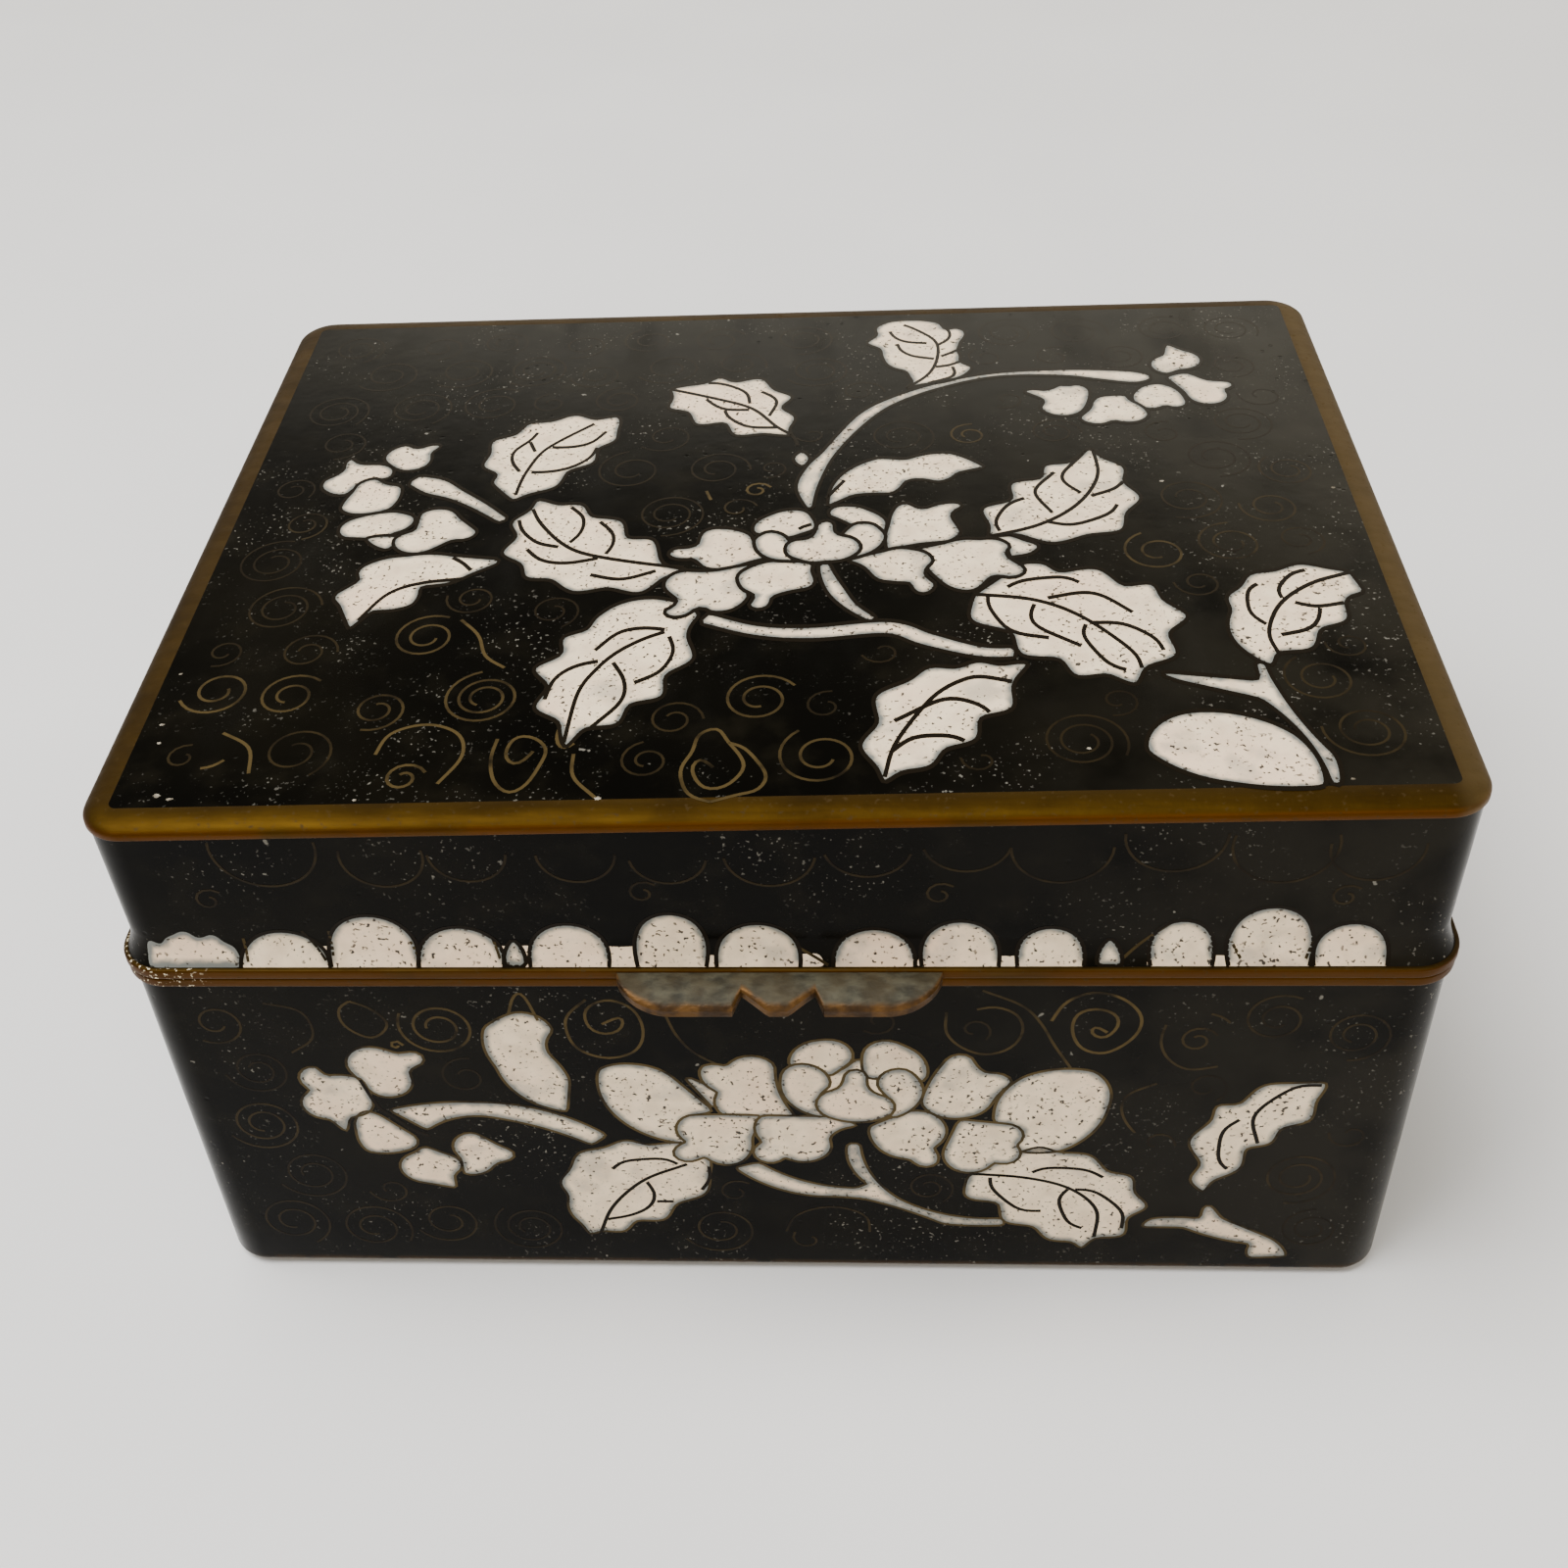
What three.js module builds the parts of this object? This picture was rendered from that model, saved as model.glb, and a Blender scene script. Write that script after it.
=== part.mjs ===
// A small rectangular trinket box of copper sheet, enamelled in black over brass wires, with brass rims.
// The box is a hollow tray with a lift-off lid. A brass foot rim is let into the edge of the tray's
// underside, and its mouth is edged by a brass rim with an upstand that locates the lid. The lid's crown
// is framed by a rounded brass border, its skirt flares out to a brass rim, and a scalloped brass thumb
// tab stands out in front.
// Millimetres, +Z up, front towards -Y, origin at the centre of the underside.

import * as THREE from "three";

// Overall plan and levels
const WIDTH = 102;
const DEPTH = 78.5;
const SEAM_Z = 37.2;
const SHOULDER_Z = 52.5;
const CROWN_RISE = 0.7;

// The lid was raised by hand and is a little out of true: its front edge stands this much
// higher at the right end, and as much lower at the left end, than the level back edge.
const FRONT_RISE = 0.75;

// Walls: copper sheet with enamel on both sides
const WALL = 1.5;
const FLOOR = 1.6;
const CEILING = 1.6;

// Corner radii in plan
const TOP_CORNER = 3.6;
const FOOT_CORNER = 4.6;
const FRAME_INNER_CORNER = 0.7;
const LEAST_CORNER = 0.35;
const CORNER_STEPS = 8;

// How far each level lies inside the widest outline
const SKIRT_TOP_INSET = 0.25;
const SKIRT_WAIST_INSET = 0.8;
const SKIRT_FLARE_INSET = 0.15;
const TRAY_TOP_INSET = 0.35;
const TRAY_FOOT_INSET = 1;
const TRAY_EDGE_ROUND = 0.7;

// The flare at the foot of the lid's skirt
const FLARE_HEIGHT = 2.5;
const FLARE_STEPS = 4;

// Brass border round the lid's crown
const BORDER_WIDTH = 2.25;
const BORDER_THICKNESS = 0.45;
const BORDER_DROP = 0.85;
const BORDER_SIDE = 0.45;
const BORDER_STEPS = 5;

// Brass rims
const LID_RIM_HEIGHT = 0.95;
const LID_RIM_PROUD = 0.2;
const TRAY_RIM_HEIGHT = 0.95;
const TRAY_RIM_PROUD = 0.1;
const RIM_CHAMFER = 0.2;
const FOOT_RIM_HEIGHT = 0.5;
const FOOT_RIM_WIDTH = 1.6;
const FOOT_RIM_CHAMFER = 0.15;

// Upstand of the tray's rim, inside the lid
const UPSTAND_HEIGHT = 2.4;
const UPSTAND_THICKNESS = 0.7;
const LID_CLEARANCE = 0.3;

// Thumb tab, soldered to the front of the lid's rim: two long lobes and a tooth between two notches
const TAB_WIDTH = 24.6;
const TAB_SHIFT = 0.35;
const TAB_REACH = 2.95;
const TAB_DROP = 0.95;
const TAB_THICKNESS = 0.8;
const TAB_END_RUN = 4.2;
const TAB_NOTCH_PLACE = 2.75;
const TAB_NOTCH_DEPTH = 1.35;
const TAB_NOTCH_STEEP_RUN = 0.7;
const TAB_NOTCH_SLOPE_RUN = 2;
const TAB_LIP = 0.15;
const TAB_END_STEPS = 7;
const TAB_BEND_STEPS = 4;

const BRASS = { color: 0x8a5f26, roughness: 0.42, metalness: 1 };
const DULL_BRASS = { color: 0x6f6a55, roughness: 0.6, metalness: 0.8 };
const BLACK_ENAMEL = { color: 0x12110f, roughness: 0.16, metalness: 0 };

// Points round a rectangle with round corners, anticlockwise from above, `inset` inside the widest outline.
function outline(inset, radius) {
  const halfWidth = WIDTH / 2 - inset;
  const halfDepth = DEPTH / 2 - inset;
  const points = [];
  for (let corner = 0; corner < 4; corner += 1) {
    const centreX = (corner === 0 || corner === 3 ? 1 : -1) * (halfWidth - radius);
    const centreY = (corner < 2 ? 1 : -1) * (halfDepth - radius);
    for (let step = 0; step <= CORNER_STEPS; step += 1) {
      const angle = ((corner + step / CORNER_STEPS) * Math.PI) / 2;
      points.push([centreX + radius * Math.cos(angle), centreY + radius * Math.sin(angle)]);
    }
  }
  return points;
}

// One level of a section: how far inside the widest outline, how high, and its corner radius.
// The height may be a function of x and y.
function level(inset, z, radius) {
  return { inset, z, radius: Math.max(radius, LEAST_CORNER) };
}

function levelPoints({ inset, z, radius }) {
  return outline(inset, radius).map(([x, y]) => new THREE.Vector3(x, y, typeof z === "function" ? z(x, y) : z));
}

function outOfTrue(x, y) {
  return FRONT_RISE * (x / (WIDTH / 2)) * (0.5 - y / DEPTH);
}

// A level of the lid's upper part, at the height `z` where the lid is true
function lidLevel(inset, z, radius) {
  return level(inset, (x, y) => z + outOfTrue(x, y), radius);
}

function closedSkin(positions, faces) {
  const geometry = new THREE.BufferGeometry();
  geometry.setAttribute("position", new THREE.Float32BufferAttribute(positions, 3));
  geometry.setIndex(faces);
  geometry.computeVertexNormals();
  return geometry;
}

// Skin between levels. A ring's last level joins its first; any other section is closed at both ends
// by a fan to a point on the axis, at the heights firstZ and lastZ. Each four-cornered patch is split
// along its shorter diagonal, so that two pieces that share a face share its triangles too.
function skin(levels, firstZ, lastZ) {
  const loops = levels.map(levelPoints);
  const around = loops[0].length;
  const points = loops.flat();
  const faces = [];
  const isRing = firstZ === undefined;
  const bands = isRing ? loops.length : loops.length - 1;
  for (let band = 0; band < bands; band += 1) {
    const upper = band * around;
    const lower = ((band + 1) % loops.length) * around;
    for (let k = 0; k < around; k += 1) {
      const next = (k + 1) % around;
      const [a, b, c, d] = [upper + k, lower + k, lower + next, upper + next];
      if (points[a].distanceTo(points[c]) < points[b].distanceTo(points[d])) {
        faces.push(a, b, c, a, c, d);
      } else {
        faces.push(a, b, d, b, c, d);
      }
    }
  }
  if (!isRing) {
    const first = points.length;
    points.push(new THREE.Vector3(0, 0, firstZ), new THREE.Vector3(0, 0, lastZ));
    const lastLoop = (loops.length - 1) * around;
    for (let k = 0; k < around; k += 1) {
      const next = (k + 1) % around;
      faces.push(first, k, next);
      faces.push(first + 1, lastLoop + next, lastLoop + k);
    }
  }
  return closedSkin(points.flatMap((point) => point.toArray()), faces);
}

function piece(name, geometry, finish) {
  const mesh = new THREE.Mesh(geometry, new THREE.MeshStandardMaterial(finish));
  mesh.name = name;
  return mesh;
}

// The lid's crown, over the field that the border frames. Its rings lie at these shares of the way
// from the field's long edges to its middle.
const FIELD_EDGE_Z = SHOULDER_Z + BORDER_DROP;
const FIELD_HALF_WIDTH = WIDTH / 2 - BORDER_WIDTH;
const FIELD_HALF_DEPTH = DEPTH / 2 - BORDER_WIDTH;
const CROWN_RINGS = [0.8, 0.6, 0.4, 0.25, 0.12, 0.05];
function crown(x, y) {
  const across = Math.max(0, 1 - (x / FIELD_HALF_WIDTH) ** 2);
  const along = Math.max(0, 1 - (y / FIELD_HALF_DEPTH) ** 2);
  return FIELD_EDGE_Z + CROWN_RISE * across * along + outOfTrue(x, y);
}

// The border's outside, from the field's edge over a quarter-ellipse shoulder and down its side;
// `depth` below that outside gives the seat that the shell offers it.
function borderFace(depth) {
  const points = [];
  for (let step = 0; step <= BORDER_STEPS; step += 1) {
    const angle = (step / BORDER_STEPS) * (Math.PI / 2);
    const inset = depth + (BORDER_WIDTH - depth) * (1 - Math.sin(angle));
    const z = SHOULDER_Z + (BORDER_DROP - depth) * Math.cos(angle);
    const corner = TOP_CORNER - (TOP_CORNER - FRAME_INNER_CORNER) * (1 - Math.sin(angle));
    points.push(lidLevel(inset, z, corner - (depth * step) / BORDER_STEPS));
  }
  return points;
}
const BORDER_FOOT_Z = SHOULDER_Z - BORDER_SIDE;

function lidBorder() {
  const face = borderFace(0);
  const seat = borderFace(BORDER_THICKNESS);
  const foot = [
    lidLevel(0, BORDER_FOOT_Z + RIM_CHAMFER, TOP_CORNER),
    lidLevel(RIM_CHAMFER, BORDER_FOOT_Z, TOP_CORNER - RIM_CHAMFER),
    lidLevel(BORDER_THICKNESS, BORDER_FOOT_Z, TOP_CORNER - BORDER_THICKNESS),
  ];
  return piece("lid_border", skin([...face, ...foot, ...seat.reverse()]), BRASS);
}

// Insets of the skirt's outside, from under the border to the top of the lid's rim
const SKIRT_FOOT_Z = SEAM_Z + LID_RIM_HEIGHT;
const WAIST_Z = SKIRT_FOOT_Z + FLARE_HEIGHT;
function skirtFace(depth) {
  const points = [lidLevel(SKIRT_TOP_INSET + depth, BORDER_FOOT_Z, TOP_CORNER - SKIRT_TOP_INSET - depth)];
  for (let step = 0; step <= FLARE_STEPS; step += 1) {
    const share = step / FLARE_STEPS;
    const inset = SKIRT_WAIST_INSET + (SKIRT_FLARE_INSET - SKIRT_WAIST_INSET) * share ** 2 + depth;
    points.push(level(inset, WAIST_Z - FLARE_HEIGHT * share, TOP_CORNER - inset));
  }
  return points;
}

function lidShell() {
  const crownRings = CROWN_RINGS.map((share) =>
    level(BORDER_WIDTH + share * FIELD_HALF_DEPTH, crown, FRAME_INNER_CORNER),
  );
  const field = [...crownRings, lidLevel(BORDER_WIDTH, FIELD_EDGE_Z, FRAME_INNER_CORNER)];
  const seat = borderFace(BORDER_THICKNESS);
  const seatFoot = lidLevel(BORDER_THICKNESS, BORDER_FOOT_Z, TOP_CORNER - BORDER_THICKNESS);
  const outside = [...field, ...seat, seatFoot];
  const inside = skirtFace(WALL).reverse();
  const innerTop = inside.pop();
  const ceilingZ = FIELD_EDGE_Z - CEILING;
  const ceiling = lidLevel(innerTop.inset, ceilingZ, innerTop.radius);
  return piece(
    "lid_shell",
    skin([...outside, ...skirtFace(0), ...inside, ceiling], crown(0, 0), ceilingZ),
    BLACK_ENAMEL,
  );
}

function lidRim() {
  const top = SEAM_Z + LID_RIM_HEIGHT;
  const outer = -LID_RIM_PROUD;
  const inner = SKIRT_FLARE_INSET + WALL;
  const section = [
    [inner, top],
    [outer + RIM_CHAMFER, top],
    [outer, top - RIM_CHAMFER],
    [outer, SEAM_Z + RIM_CHAMFER],
    [outer + RIM_CHAMFER, SEAM_Z],
    [inner, SEAM_Z],
  ];
  return piece("lid_rim", skin(section.map(([inset, z]) => level(inset, z, TOP_CORNER - inset))), BRASS);
}

function trayRim() {
  const foot = SEAM_Z - TRAY_RIM_HEIGHT;
  const outer = -TRAY_RIM_PROUD;
  const upstandOuter = SKIRT_WAIST_INSET + WALL + LID_CLEARANCE;
  const inner = upstandOuter + UPSTAND_THICKNESS;
  const top = SEAM_Z + UPSTAND_HEIGHT;
  const section = [
    [inner, top],
    [upstandOuter, top],
    [upstandOuter, SEAM_Z],
    [outer + RIM_CHAMFER, SEAM_Z],
    [outer, SEAM_Z - RIM_CHAMFER],
    [outer, foot + RIM_CHAMFER],
    [outer + RIM_CHAMFER, foot],
    [inner, foot],
  ];
  return piece("tray_rim", skin(section.map(([inset, z]) => level(inset, z, TOP_CORNER - inset))), BRASS);
}

const FOOT_RIM_OUTER = TRAY_FOOT_INSET + TRAY_EDGE_ROUND;
const FOOT_RIM_INNER = FOOT_RIM_OUTER + FOOT_RIM_WIDTH;

function tray() {
  const top = SEAM_Z - TRAY_RIM_HEIGHT;
  const edgeZ = FOOT_RIM_HEIGHT + TRAY_EDGE_ROUND;
  const taper = (TRAY_TOP_INSET - TRAY_FOOT_INSET) / (top - edgeZ);
  const floorInset = TRAY_FOOT_INSET + taper * (FLOOR - edgeZ) + WALL;
  const bevel = TRAY_EDGE_ROUND * (1 - Math.SQRT1_2);
  const inside = [
    level(floorInset, FLOOR, FOOT_CORNER - floorInset),
    level(TRAY_TOP_INSET + WALL, top, TOP_CORNER - TRAY_TOP_INSET - WALL),
  ];
  const outside = [
    level(TRAY_TOP_INSET, top, TOP_CORNER - TRAY_TOP_INSET),
    level(TRAY_FOOT_INSET, edgeZ, FOOT_CORNER - TRAY_FOOT_INSET),
    level(TRAY_FOOT_INSET + bevel, FOOT_RIM_HEIGHT + bevel, FOOT_CORNER - TRAY_FOOT_INSET - bevel),
    level(FOOT_RIM_OUTER, FOOT_RIM_HEIGHT, FOOT_CORNER - FOOT_RIM_OUTER),
    level(FOOT_RIM_INNER, FOOT_RIM_HEIGHT, FOOT_CORNER - FOOT_RIM_INNER),
    level(FOOT_RIM_INNER, 0, FOOT_CORNER - FOOT_RIM_INNER),
  ];
  return piece("tray", skin([...inside, ...outside], FLOOR, 0), BLACK_ENAMEL);
}

function footRim() {
  const section = [
    [FOOT_RIM_INNER, FOOT_RIM_HEIGHT],
    [FOOT_RIM_OUTER, FOOT_RIM_HEIGHT],
    [FOOT_RIM_OUTER, FOOT_RIM_CHAMFER],
    [FOOT_RIM_OUTER + FOOT_RIM_CHAMFER, 0],
    [FOOT_RIM_INNER, 0],
  ];
  return piece("foot_rim", skin(section.map(([inset, z]) => level(inset, z, FOOT_CORNER - inset))), BRASS);
}

// Reach of the tab's scalloped front edge at `across`, measured from its root
function tabReach(across) {
  const fromEnd = Math.min(1, (TAB_WIDTH / 2 - Math.abs(across)) / TAB_END_RUN);
  const lobe = TAB_REACH * Math.sqrt(1 - (1 - fromEnd) ** 2);
  const outward = Math.abs(across) - TAB_NOTCH_PLACE;
  const run = outward > 0 ? TAB_NOTCH_STEEP_RUN : TAB_NOTCH_SLOPE_RUN;
  const notch = TAB_NOTCH_DEPTH * Math.max(0, 1 - Math.abs(outward) / run);
  return Math.max(lobe - notch, TAB_LIP);
}

// Places along the tab where its outline turns, from the middle to one end
function tabStations() {
  const places = [
    TAB_NOTCH_PLACE - TAB_NOTCH_SLOPE_RUN,
    TAB_NOTCH_PLACE,
    TAB_NOTCH_PLACE + TAB_NOTCH_STEEP_RUN,
  ];
  for (let step = 0; step <= TAB_END_STEPS; step += 1) {
    const angle = ((step / TAB_END_STEPS) * Math.PI) / 2;
    places.push(TAB_WIDTH / 2 - TAB_END_RUN * (1 - Math.sin(angle)));
  }
  return places;
}

function thumbTab() {
  const half = tabStations();
  const across = [...half.map((place) => -place).reverse(), ...half];
  const rootY = -(DEPTH / 2 + LID_RIM_PROUD);
  const rootZ = SEAM_Z + LID_RIM_HEIGHT - RIM_CHAMFER;
  const positions = [];
  for (const place of across) {
    const reach = tabReach(place);
    const upper = [];
    for (let step = 0; step <= TAB_BEND_STEPS; step += 1) {
      const out = (reach * step) / TAB_BEND_STEPS;
      upper.push([rootY - out, rootZ - TAB_DROP * (out / TAB_REACH) ** 2]);
    }
    const lower = upper.map(([y, z]) => [y, z - TAB_THICKNESS]).reverse();
    positions.push(...[...upper, ...lower].flatMap(([y, z]) => [place + TAB_SHIFT, y, z]));
  }
  const corners = 2 * (TAB_BEND_STEPS + 1);
  const faces = [];
  for (let station = 0; station + 1 < across.length; station += 1) {
    const here = station * corners;
    const there = here + corners;
    for (let k = 0; k < corners; k += 1) {
      const next = (k + 1) % corners;
      faces.push(here + k, here + next, there + k);
      faces.push(here + next, there + next, there + k);
    }
  }
  const last = (across.length - 1) * corners;
  for (let k = 0; k < TAB_BEND_STEPS; k += 1) {
    const under = corners - 1 - k;
    faces.push(k, under, k + 1, k + 1, under, under - 1);
    faces.push(last + k, last + k + 1, last + under, last + k + 1, last + under - 1, last + under);
  }
  return piece("thumb_tab", closedSkin(positions, faces), DULL_BRASS);
}

const lid = new THREE.Group();
lid.add(lidShell(), lidBorder(), lidRim(), thumbTab());

const base = new THREE.Group();
base.add(tray(), trayRim(), footRim());

const box = new THREE.Group();
box.name = "enamel_box";
box.add(base, lid);

export default box;
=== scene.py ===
import math
import random

import bpy
import numpy
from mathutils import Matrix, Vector
from mathutils.geometry import delaunay_2d_cdt


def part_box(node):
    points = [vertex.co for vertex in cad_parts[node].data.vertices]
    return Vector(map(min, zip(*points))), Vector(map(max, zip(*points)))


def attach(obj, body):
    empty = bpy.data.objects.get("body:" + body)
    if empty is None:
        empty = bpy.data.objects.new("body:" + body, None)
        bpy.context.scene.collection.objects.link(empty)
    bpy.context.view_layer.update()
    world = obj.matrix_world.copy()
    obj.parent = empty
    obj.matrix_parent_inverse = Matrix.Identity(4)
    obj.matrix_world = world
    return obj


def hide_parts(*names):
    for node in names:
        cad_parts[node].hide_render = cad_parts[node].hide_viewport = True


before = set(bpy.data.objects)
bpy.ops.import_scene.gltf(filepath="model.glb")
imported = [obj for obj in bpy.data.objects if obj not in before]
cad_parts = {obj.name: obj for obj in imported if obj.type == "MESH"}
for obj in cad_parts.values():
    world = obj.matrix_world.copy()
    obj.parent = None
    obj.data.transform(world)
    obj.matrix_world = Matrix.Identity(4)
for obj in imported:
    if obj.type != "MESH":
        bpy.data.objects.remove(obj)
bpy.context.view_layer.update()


# The tray: copper sheet, raised to a box, with black enamel fused on it inside and out.
# Its walls lean out a little towards the mouth, and its lower edge is rounded.

MM = 0.001

tray_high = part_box("tray")[1] / MM
border_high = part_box("lid_border")[1] / MM
HALF_WIDTH = border_high.x
HALF_DEPTH = border_high.y
SEAM_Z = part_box("lid_rim")[0].z / MM
WALL = 1.5
FLOOR_Z = 1.6
TRAY_TOP_Z = tray_high.z
TRAY_TOP_INSET = HALF_WIDTH - tray_high.x
TRAY_FOOT_INSET = 1
TRAY_EDGE_Z = 1.2
TRAY_EDGE_ROUND = 0.7
TOP_CORNER = 3.6
FOOT_CORNER = 4.6
FOOT_RIM_HEIGHT = 0.5
FOOT_RIM_INNER = 3.3


class Sum:
    """A number or colour worked out by shader nodes, which adds, multiplies and mixes like a plain one."""

    def __init__(self, finish, socket):
        self.finish = finish
        self.socket = socket

    def calculate(self, operation, *others):
        return self.finish.node("Math", {"operation": operation}, 0, self, *others)

    def __add__(self, other):
        return self.calculate("ADD", other)

    def __radd__(self, other):
        return self.calculate("ADD", other)

    def __sub__(self, other):
        return self.calculate("SUBTRACT", other)

    def __rsub__(self, other):
        return self.finish.node("Math", {"operation": "SUBTRACT"}, 0, other, self)

    def __mul__(self, other):
        return self.calculate("MULTIPLY", other)

    def ramp(self, start, end):
        """0 at start, 1 at end, and smooth between them. start may be the higher one."""
        settings = {"interpolation_type": "SMOOTHSTEP"}
        return self.finish.node("MapRange", settings, 0, self, start, end, 0.0, 1.0)

    def blend(self, first, second):
        """The colour first where this is 0, and second where it is 1."""
        settings = {"data_type": "RGBA"}
        values = {"Factor": self, "A": first, "B": second}
        return self.finish.node("Mix", settings, "Result", **values)


class Finish:
    """One procedural material, built up from nodes round its Principled shader."""

    def __init__(self, name):
        self.material = bpy.data.materials.new(name)
        self.material.use_nodes = True
        self.tree = self.material.node_tree
        self.shader = self.tree.nodes["Principled BSDF"]
        place = self.node("TexCoord", {}, "Object")
        self.place = self.node("VectorMath", {"operation": "SCALE"}, 0, place, Scale=1 / MM)

    def node(self, kind, settings, output, *values, **named):
        """An output of a new shader node. Values fill its inputs in order, and named ones by name."""
        made = self.tree.nodes.new("ShaderNode" + kind)
        for key, setting in settings.items():
            setattr(made, key, setting)
        if kind == "Mix":
            inputs = {socket.name: socket for socket in made.inputs if socket.enabled}
            outputs = {socket.name: socket for socket in made.outputs if socket.enabled}
        else:
            inputs = made.inputs
            outputs = made.outputs
        for index, value in enumerate(values):
            self.feed(inputs[index], value)
        for key, value in named.items():
            self.feed(inputs[key.replace("_", " ")], value)
        return Sum(self, outputs[output])

    def feed(self, socket, value):
        if isinstance(value, Sum):
            self.tree.links.new(value.socket, socket)
        elif isinstance(value, tuple) and len(socket.default_value) == 4:
            socket.default_value = (*value, 1)
        else:
            socket.default_value = value

    def noise(self, size, detail=3.0, stretch=(1, 1, 1)):
        """Soft random mottling, 0 to 1, in patches about size millimetres across."""
        at = self.node("VectorMath", {"operation": "MULTIPLY"}, 0, self.place, stretch)
        values = {"Vector": at, "Scale": 1 / size, "Detail": detail}
        return self.node("TexNoise", {}, "Fac", **values)

    def dots(self, spacing, size):
        """1 inside round dots about spacing apart, size across, and 0 outside."""
        values = {"Vector": self.place, "Scale": 1 / spacing}
        distance = self.node("TexVoronoi", {}, "Distance", **values)
        return distance.ramp(size / spacing / 2, size / spacing / 4)

    def attribute(self, name):
        """A value that the mesh carries at each of its points."""
        return self.node("Attribute", {"attribute_name": name}, "Fac")

    def surface(self, colour, roughness, metallic=0.0, **others):
        self.feed(self.shader.inputs["Base Color"], colour)
        self.feed(self.shader.inputs["Roughness"], roughness)
        self.feed(self.shader.inputs["Metallic"], metallic)
        for key, value in others.items():
            self.feed(self.shader.inputs[key.replace("_", " ")], value)

    def relief(self, height, depth):
        """Bump of depth millimetres from a height of 0 to 1."""
        values = {"Height": height, "Distance": depth * MM}
        normal = self.node("Bump", {}, "Normal", **values)
        self.feed(self.shader.inputs["Normal"], normal)


def black_enamel_finish():
    """Glossy warm black with a soft haze, fine white grit, open pits and a gently rippled surface."""
    finish = Finish("black enamel")
    haze = finish.noise(22, 4.0).ramp(0.42, 0.75)
    cloud = finish.noise(3.5, 5.0).ramp(0.45, 0.8)
    warm = haze.blend((0.0013, 0.0011, 0.0006), (0.0038, 0.0031, 0.0016))
    ground = (cloud * 0.6).blend(warm, (0.0075, 0.0062, 0.0034))
    gritty = finish.noise(7, 4.0).ramp(0.44, 0.74)
    fine_grit = finish.noise(0.34, 1.0).ramp(0.66, 0.75) * gritty
    coarse_grit = finish.noise(1.1, 2.0).ramp(0.75, 0.79)
    grit = fine_grit * 0.42 + coarse_grit * 0.42
    across = finish.node("SeparateXYZ", {}, "X", finish.place)
    dusty = across.ramp(0, 55) * finish.noise(9, 4.0).ramp(0.25, 0.6)
    ground = dusty.blend(ground, (0.0125, 0.0108, 0.0072))
    height = finish.node("SeparateXYZ", {}, "Z", finish.place)
    bared = height.ramp(1.7, 0.7) * finish.noise(2.5, 4.0).ramp(0.3, 0.5)
    ground = (bared * 0.8).blend(ground, (0.055, 0.03, 0.01))
    colour = grit.blend(ground, (0.33, 0.31, 0.26))
    rubbed = finish.noise(6, 6.0, (1, 0.35, 1)).ramp(0.45, 0.8)
    finish.surface(colour, 0.18 + rubbed * 0.14 + grit * 0.4, Specular_IOR_Level=0.04)
    ripple = finish.noise(1.9, 2.0)
    pits = finish.dots(1.6, 0.5) * finish.noise(4, 2.0).ramp(0.5, 0.65)
    finish.relief(ripple * 0.3 - pits * 0.5 + grit * 0.4, 0.04)
    return finish.material


BLACK_ENAMEL = black_enamel_finish()
LEAST_CORNER = 0.3
SHARP_EDGE = 32


def rounded_rectangle(inset, corner, along, steps=14):
    """Points anticlockwise round the box's plan, inset inside its widest outline, in millimetres.
    Each straight side is cut into along stretches."""
    corner = max(corner, LEAST_CORNER)
    arcs = []
    for quarter in range(4):
        sign_x = 1 if quarter in (0, 3) else -1
        sign_y = 1 if quarter < 2 else -1
        centre_x = sign_x * (HALF_WIDTH - inset - corner)
        centre_y = sign_y * (HALF_DEPTH - inset - corner)
        round_corner = []
        for step in range(steps + 1):
            turn = (quarter + step / steps) * math.pi / 2
            round_corner.append((centre_x + corner * math.cos(turn), centre_y + corner * math.sin(turn)))
        arcs.append(round_corner)
    points = []
    for here, after in zip(arcs, arcs[1:] + arcs[:1]):
        points += here
        (start_x, start_y), (end_x, end_y) = here[-1], after[0]
        for share in (step / along for step in range(1, along)):
            points.append((start_x + (end_x - start_x) * share, start_y + (end_y - start_y) * share))
    return points


def add_piece(name, points, faces, material):
    """A piece of the box from points in millimetres, smooth but for its sharp edges."""
    mesh = bpy.data.meshes.new(name)
    mesh.from_pydata([Vector(point) * MM for point in points], [], faces)
    mesh.validate()
    mesh.polygons.foreach_set("use_smooth", [True] * len(mesh.polygons))
    mesh.set_sharp_from_angle(angle=math.radians(SHARP_EDGE))
    mesh.materials.append(material)
    piece = bpy.data.objects.new(name, mesh)
    bpy.context.scene.collection.objects.link(piece)
    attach(piece, "root")
    return piece


def loft(name, rings, material, closed_ring=False, along=1):
    """Skin through rings of (inset, height, corner), as they come down the outside of the piece.
    A height may be a function of x and y. An open stack of rings is closed by a flat cap at each end."""
    loops = []
    for inset, height, corner in rings:
        plan = rounded_rectangle(inset, corner, along)
        loops.append([(x, y, height(x, y) if callable(height) else height) for x, y in plan])
    around = len(loops[0])
    points = [point for loop in loops for point in loop]
    faces = []
    for band in range(len(loops) if closed_ring else len(loops) - 1):
        upper = band * around
        lower = (band + 1) % len(loops) * around
        for here in range(around):
            after = (here + 1) % around
            faces.append((upper + here, lower + here, lower + after, upper + after))
    if not closed_ring:
        faces.append(tuple(range(around)))
        faces.append(tuple(reversed(range(len(points) - around, len(points)))))
    return add_piece(name, points, faces, material)


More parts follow.
